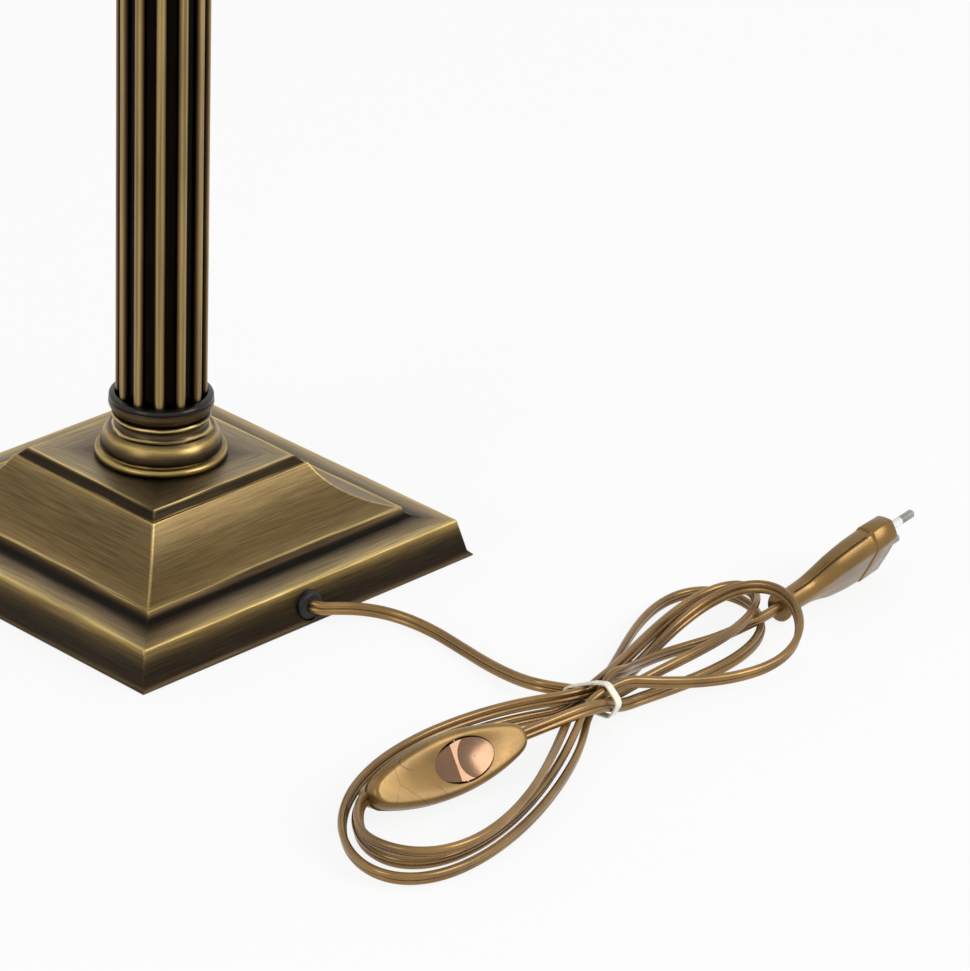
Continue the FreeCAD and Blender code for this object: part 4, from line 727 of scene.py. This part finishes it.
def hairlines(p, strength):
    """Share of fine curved lines, the edges of bent cells, in scattered patches."""
    bend, cell_scale, line_width = 0.012, 38.0, 0.010
    shift = p.node("VectorMath", operation="MULTIPLY_ADD")
    p.put(p.noise(p.at, 40.0, output="Color"), shift.inputs[0])
    p.put((bend, bend, bend), shift.inputs[1])
    p.put(p.at, shift.inputs[2])
    cells = p.node("TexVoronoi", feature="DISTANCE_TO_EDGE")
    p.put(shift.outputs[0], cells.inputs["Vector"])
    p.put(cell_scale, cells.inputs["Scale"])
    line = p.remap(cells.outputs["Distance"], 0.0, line_width, strength, 0.0)
    patches = p.remap(p.noise(p.at, 60.0), 0.52, 0.60)
    return p.times(line, patches)


def moulded_gold(name, colour, rough, lines=0.0):
    """Pearly gold-brown plastic, with fine lines where lines is above 0."""
    p = Paint(name)
    fine = p.noise(p.at, 900.0)
    stops = [(0.0, scaled(colour, 0.86)), (1.0, scaled(colour, 1.10))]
    tone = p.ramp(p.remap(p.noise(p.at, 45.0, 3.0), 0.3, 0.7), stops)
    if lines:
        tone = p.mix(hairlines(p, lines), tone, rgb(*scaled(colour, 0.55)))
    p.set(Base_Color=tone, Metallic=0.6, Roughness=p.remap(fine, 0.3, 0.7, rough * 0.9, rough * 1.15),
          Coat_Weight=0.12, Coat_Roughness=0.14)
    p.bump(fine, 0.00001, 0.15)
    return p.mat


def linen(name, colour):
    """Woven cloth on the cone of the shade, with threads round and up it."""
    p = Paint(name)
    round_it = p.times(p.angle(), SHADE_R * MM)
    slub, thread = THREADS
    waves = [p.noise(p.vector(p.times(along, slub), p.times(across, thread), 0.0), 1.0)
             for along, across in ((round_it, p.z), (p.z, round_it))]
    weave = p.times(p.plus(*waves), 0.5)
    tone = p.ramp(p.remap(weave, 0.35, 0.65), [(0.0, scaled(colour, 0.86)), (1.0, colour)])
    p.set(Base_Color=tone, Roughness=0.85, Sheen_Weight=0.3, Sheen_Roughness=0.5)
    p.bump(weave, 0.0004, 0.5)
    through = p.node("BsdfTranslucent")
    p.put(tone, through.inputs[0])
    mix_shaders(p.tree, CLOTH_THROUGH, p.shader, through, p.output)
    return p.mat


def frosted_glass(name):
    """Nearly white, faintly see-through glass of the bulb."""
    p = Paint(name)
    fine = p.noise(p.at, 400.0)
    p.set(Base_Color=(0.93, 0.93, 0.91, 1.0), Roughness=p.remap(fine, 0.3, 0.7, 0.22, 0.32),
          Transmission_Weight=0.08, IOR=1.5)
    p.bump(fine, 0.00003, 0.2)
    return p.mat


def floor_paint(name):
    """Pale floor that reads as white while it keeps a soft shadow."""
    p = Paint(name)
    p.set(Base_Color=(FLOOR_TONE, FLOOR_TONE, FLOOR_TONE, 1.0), Roughness=0.9, Specular_IOR_Level=0.0)
    glow = p.node("Emission")
    p.put((1, 1, 1, 1), glow.inputs[0])
    mix_shaders(p.tree, p.times(seen_rays(p.tree), FLOOR_WHITE), p.shader, glow, p.output)
    return p.mat


# ------------------------------------------------------------------------ finishes
abacus_low, abacus_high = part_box("abacus")
base_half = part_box("base_casting")[1].x
base_brass = square_brass("base brass", BASE_ROWS, BASE_HIPS, base_half, 0.0)
abacus_brass = square_brass("cap plate brass", ABACUS_ROWS, ABACUS_HIPS, abacus_high.x, abacus_low.z)
foot_brass = turned_brass("foot brass", FOOT_ROWS, "column_foot")
capital_brass = turned_brass("capital brass", CAPITAL_ROWS, "column_capital")
neck_brass = turned_brass("neck brass", NECK_ROWS, "neck")
shaft_brass = column_brass("column brass")
holder_brass = plain("holder brass", (0.72, 0.60, 0.36), 1.0, 0.26, 0.1, 50.0)
terminal_brass = plain("terminal brass", (0.76, 0.65, 0.36), 1.0, 0.32, 0.1, 120.0)
steel = plain("steel", (0.62, 0.62, 0.62), 1.0, 0.35, 0.1, 200.0)
nickel = plain("nickel", (0.60, 0.59, 0.57), 1.0, 0.16, 0.06, 160.0)
iron = plain("iron", (0.22, 0.21, 0.20), 0.8, 0.62, 0.2, 150.0, depth=0.0005)
bulb_cap = plain("bulb cap", (0.74, 0.73, 0.70), 1.0, 0.3, 0.08, 120.0)
shade_wire = plain("shade wire", (0.72, 0.66, 0.52), 0.8, 0.35, 0.1, 150.0)
black_rim = plain("black rim", (0.06, 0.042, 0.032), 0.0, 0.17, 0.25, 60.0, Specular_IOR_Level=0.3)
black_glass = plain("black glass", (0.03, 0.03, 0.035), 0.0, 0.12, 0.2, 90.0)
black_clamp = plain("black clamp", (0.05, 0.05, 0.05), 0.0, 0.5, 0.2, 150.0)
rubber = plain("rubber", (0.04, 0.036, 0.034), 0.0, 0.5, 0.2, 220.0, Specular_IOR_Level=0.35)
felt = plain("felt", (0.10, 0.10, 0.10), 0.0, 0.95, 0.25, 700.0, depth=0.0006)
ceramic = plain("ceramic", (0.88, 0.87, 0.83), 0.0, 0.24, 0.04, 60.0, Coat_Weight=0.5, Coat_Roughness=0.1)
sleeve_white = plain("sleeve white", (0.92, 0.92, 0.92), 0.0, 0.4, 0.03, 90.0)
tie_cream = plain("tie cream", (0.97, 0.955, 0.88), 0.0, 0.55, 0.03, 250.0)
rocker_gold = plain("rocker gold", (0.49, 0.375, 0.285), 0.75, 0.2, 0.04, 40.0, depth=0.00002)
gold_cord = moulded_gold("gold cord", (0.54, 0.415, 0.235), 0.29)
# painted shade: a darker brown for the faces in the lead's grooves
groove_shade = moulded_gold("cord groove shade", (0.33, 0.24, 0.13), 0.40)
gold_switch = moulded_gold("gold switch", (0.52, 0.40, 0.205), 0.36, lines=0.8)
gold_plug = moulded_gold("gold plug", (0.48, 0.36, 0.165), 0.27)
# painted shade: a dark brown for the faces in the plug's seam
seam_shade = moulded_gold("plug seam shade", (0.16, 0.11, 0.06), 0.5)
shade_linen = linen("linen", (0.92, 0.87, 0.76))
shade_trim = linen("trim", (0.62, 0.52, 0.36))
bulb_glass = frosted_glass("frosted glass")

# nodes that each finish goes on
FINISH = {
    base_brass: "base_casting", abacus_brass: "abacus", foot_brass: "column_foot",
    capital_brass: "column_capital", neck_brass: "neck", shaft_brass: "column_shaft",
    black_rim: "foot_rim capital_rim", felt: "felt_pad", iron: "base_weight",
    rubber: "cord_grommet", black_clamp: "cord_clamp", tie_cream: "cord_tie",
    steel: "base_cover cover_screw_1 cover_screw_2 cover_screw_3 cover_screw_4 stem_tube "
           "stem_washer stem_nut holder_nut switch_screw_1 switch_screw_2 rocker_pin",
    holder_brass: "holder_cap holder_body shade_ring", ceramic: "holder_insert",
    nickel: "screw_shell plug_pin_1 plug_pin_2",
    terminal_brass: "centre_contact terminal_1 terminal_2 switch_contact_1 switch_contact_2",
    bulb_cap: "bulb_cap bulb_contact", black_glass: "bulb_insulator", bulb_glass: "bulb_glass",
    shade_linen: "shade_skin", shade_trim: "shade_trim_bottom shade_trim_top",
    shade_wire: "shade_fitter shade_wire_bottom shade_wire_top",
    gold_switch: "switch_cover switch_base", rocker_gold: "switch_rocker",
    gold_plug: "plug_body", sleeve_white: "pin_sleeve_1 pin_sleeve_2",
}
for finish, names in FINISH.items():
    for node in names.split():
        for place in NODES[node].material_slots:
            place.material = finish

# --------------------------------------------------------- pieces made in the scene
plug_piece(gold_plug, seam_shade)
switch_cover_piece(gold_switch)

line = spline_points("route", route())
lead, lead_length = twin_lead("lead", line, gold_cord, groove_shade)
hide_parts("cord_lead", "cord_coil_1", "cord_coil_2")
inner_wires(gold_cord)


# ------------------------------------------------------- camera, floor and lights
def camera_turn():
    """Rotation of the camera, whose columns are its right, up and back."""
    a, e, r = (math.radians(v) for v in (CAM_TURN, CAM_DIP, CAM_ROLL))
    back = Vector((math.sin(a) * math.cos(e), -math.cos(a) * math.cos(e), math.sin(e)))
    right = Vector((math.cos(a), math.sin(a), 0))
    up = back.cross(right)
    x = right * math.cos(r) + up * math.sin(r)
    y = up * math.cos(r) - right * math.sin(r)
    return Matrix((x, y, back)).transposed()


def add_camera():
    """Camera at the photograph's viewing angle."""
    eye = bpy.data.cameras.new("camera")
    eye.sensor_fit = "HORIZONTAL"
    eye.sensor_width = SENSOR_W
    eye.lens = CAM_FOCAL / PHOTO_W * SENSOR_W
    eye.clip_start, eye.clip_end = CAM_CLIP
    camera = bpy.data.objects.new("camera", eye)
    camera.matrix_world = Matrix.Translation(CAM_AT) @ camera_turn().to_4x4()
    bpy.context.scene.collection.objects.link(camera)
    bpy.context.scene.camera = camera


def add_floor():
    """Wide plain floor at the lamp's foot."""
    h = FLOOR_HALF
    data = bpy.data.meshes.new("floor")
    data.from_pydata([(-h, -h, 0), (h, -h, 0), (h, h, 0), (-h, h, 0)], [], [(0, 1, 2, 3)])
    data.materials.append(floor_paint("floor"))
    floor = bpy.data.objects.new("floor", data)
    bpy.context.scene.collection.objects.link(floor)


def add_light(name, at, size, power):
    """Soft rectangular light at a place, aimed at the lamp's base."""
    data = bpy.data.lights.new(name, "AREA")
    data.shape = "RECTANGLE"
    data.size, data.size_y = size
    data.energy = power
    light = bpy.data.objects.new(name, data)
    light.location = at
    light.rotation_mode = "QUATERNION"
    light.rotation_quaternion = (Vector(LIGHT_AIM) - Vector(at)).to_track_quat("-Z", "Y")
    bpy.context.scene.collection.objects.link(light)


def add_sky():
    """World that lights the object softly and is seen as plain white."""
    world = bpy.data.worlds.new("world")
    bpy.context.scene.world = world
    world.use_nodes = True
    tree = world.node_tree
    tree.nodes.clear()
    skies = []
    for strength in (SKY_LIGHT, SKY_SEEN):
        sky = tree.nodes.new("ShaderNodeBackground")
        put(tree, (1, 1, 1, 1), sky.inputs[0])
        put(tree, strength, sky.inputs[1])
        skies.append(sky)
    mix_shaders(tree, seen_rays(tree), *skies, tree.nodes.new("ShaderNodeOutputWorld"))


add_camera()
add_floor()
add_light("key", KEY_AT, KEY_SIZE, KEY_POWER)
add_light("side", SIDE_AT, SIDE_SIZE, SIDE_POWER)
add_sky()

bpy.context.scene.view_settings.view_transform = "Standard"
print("lead length %.3f" % lead_length)
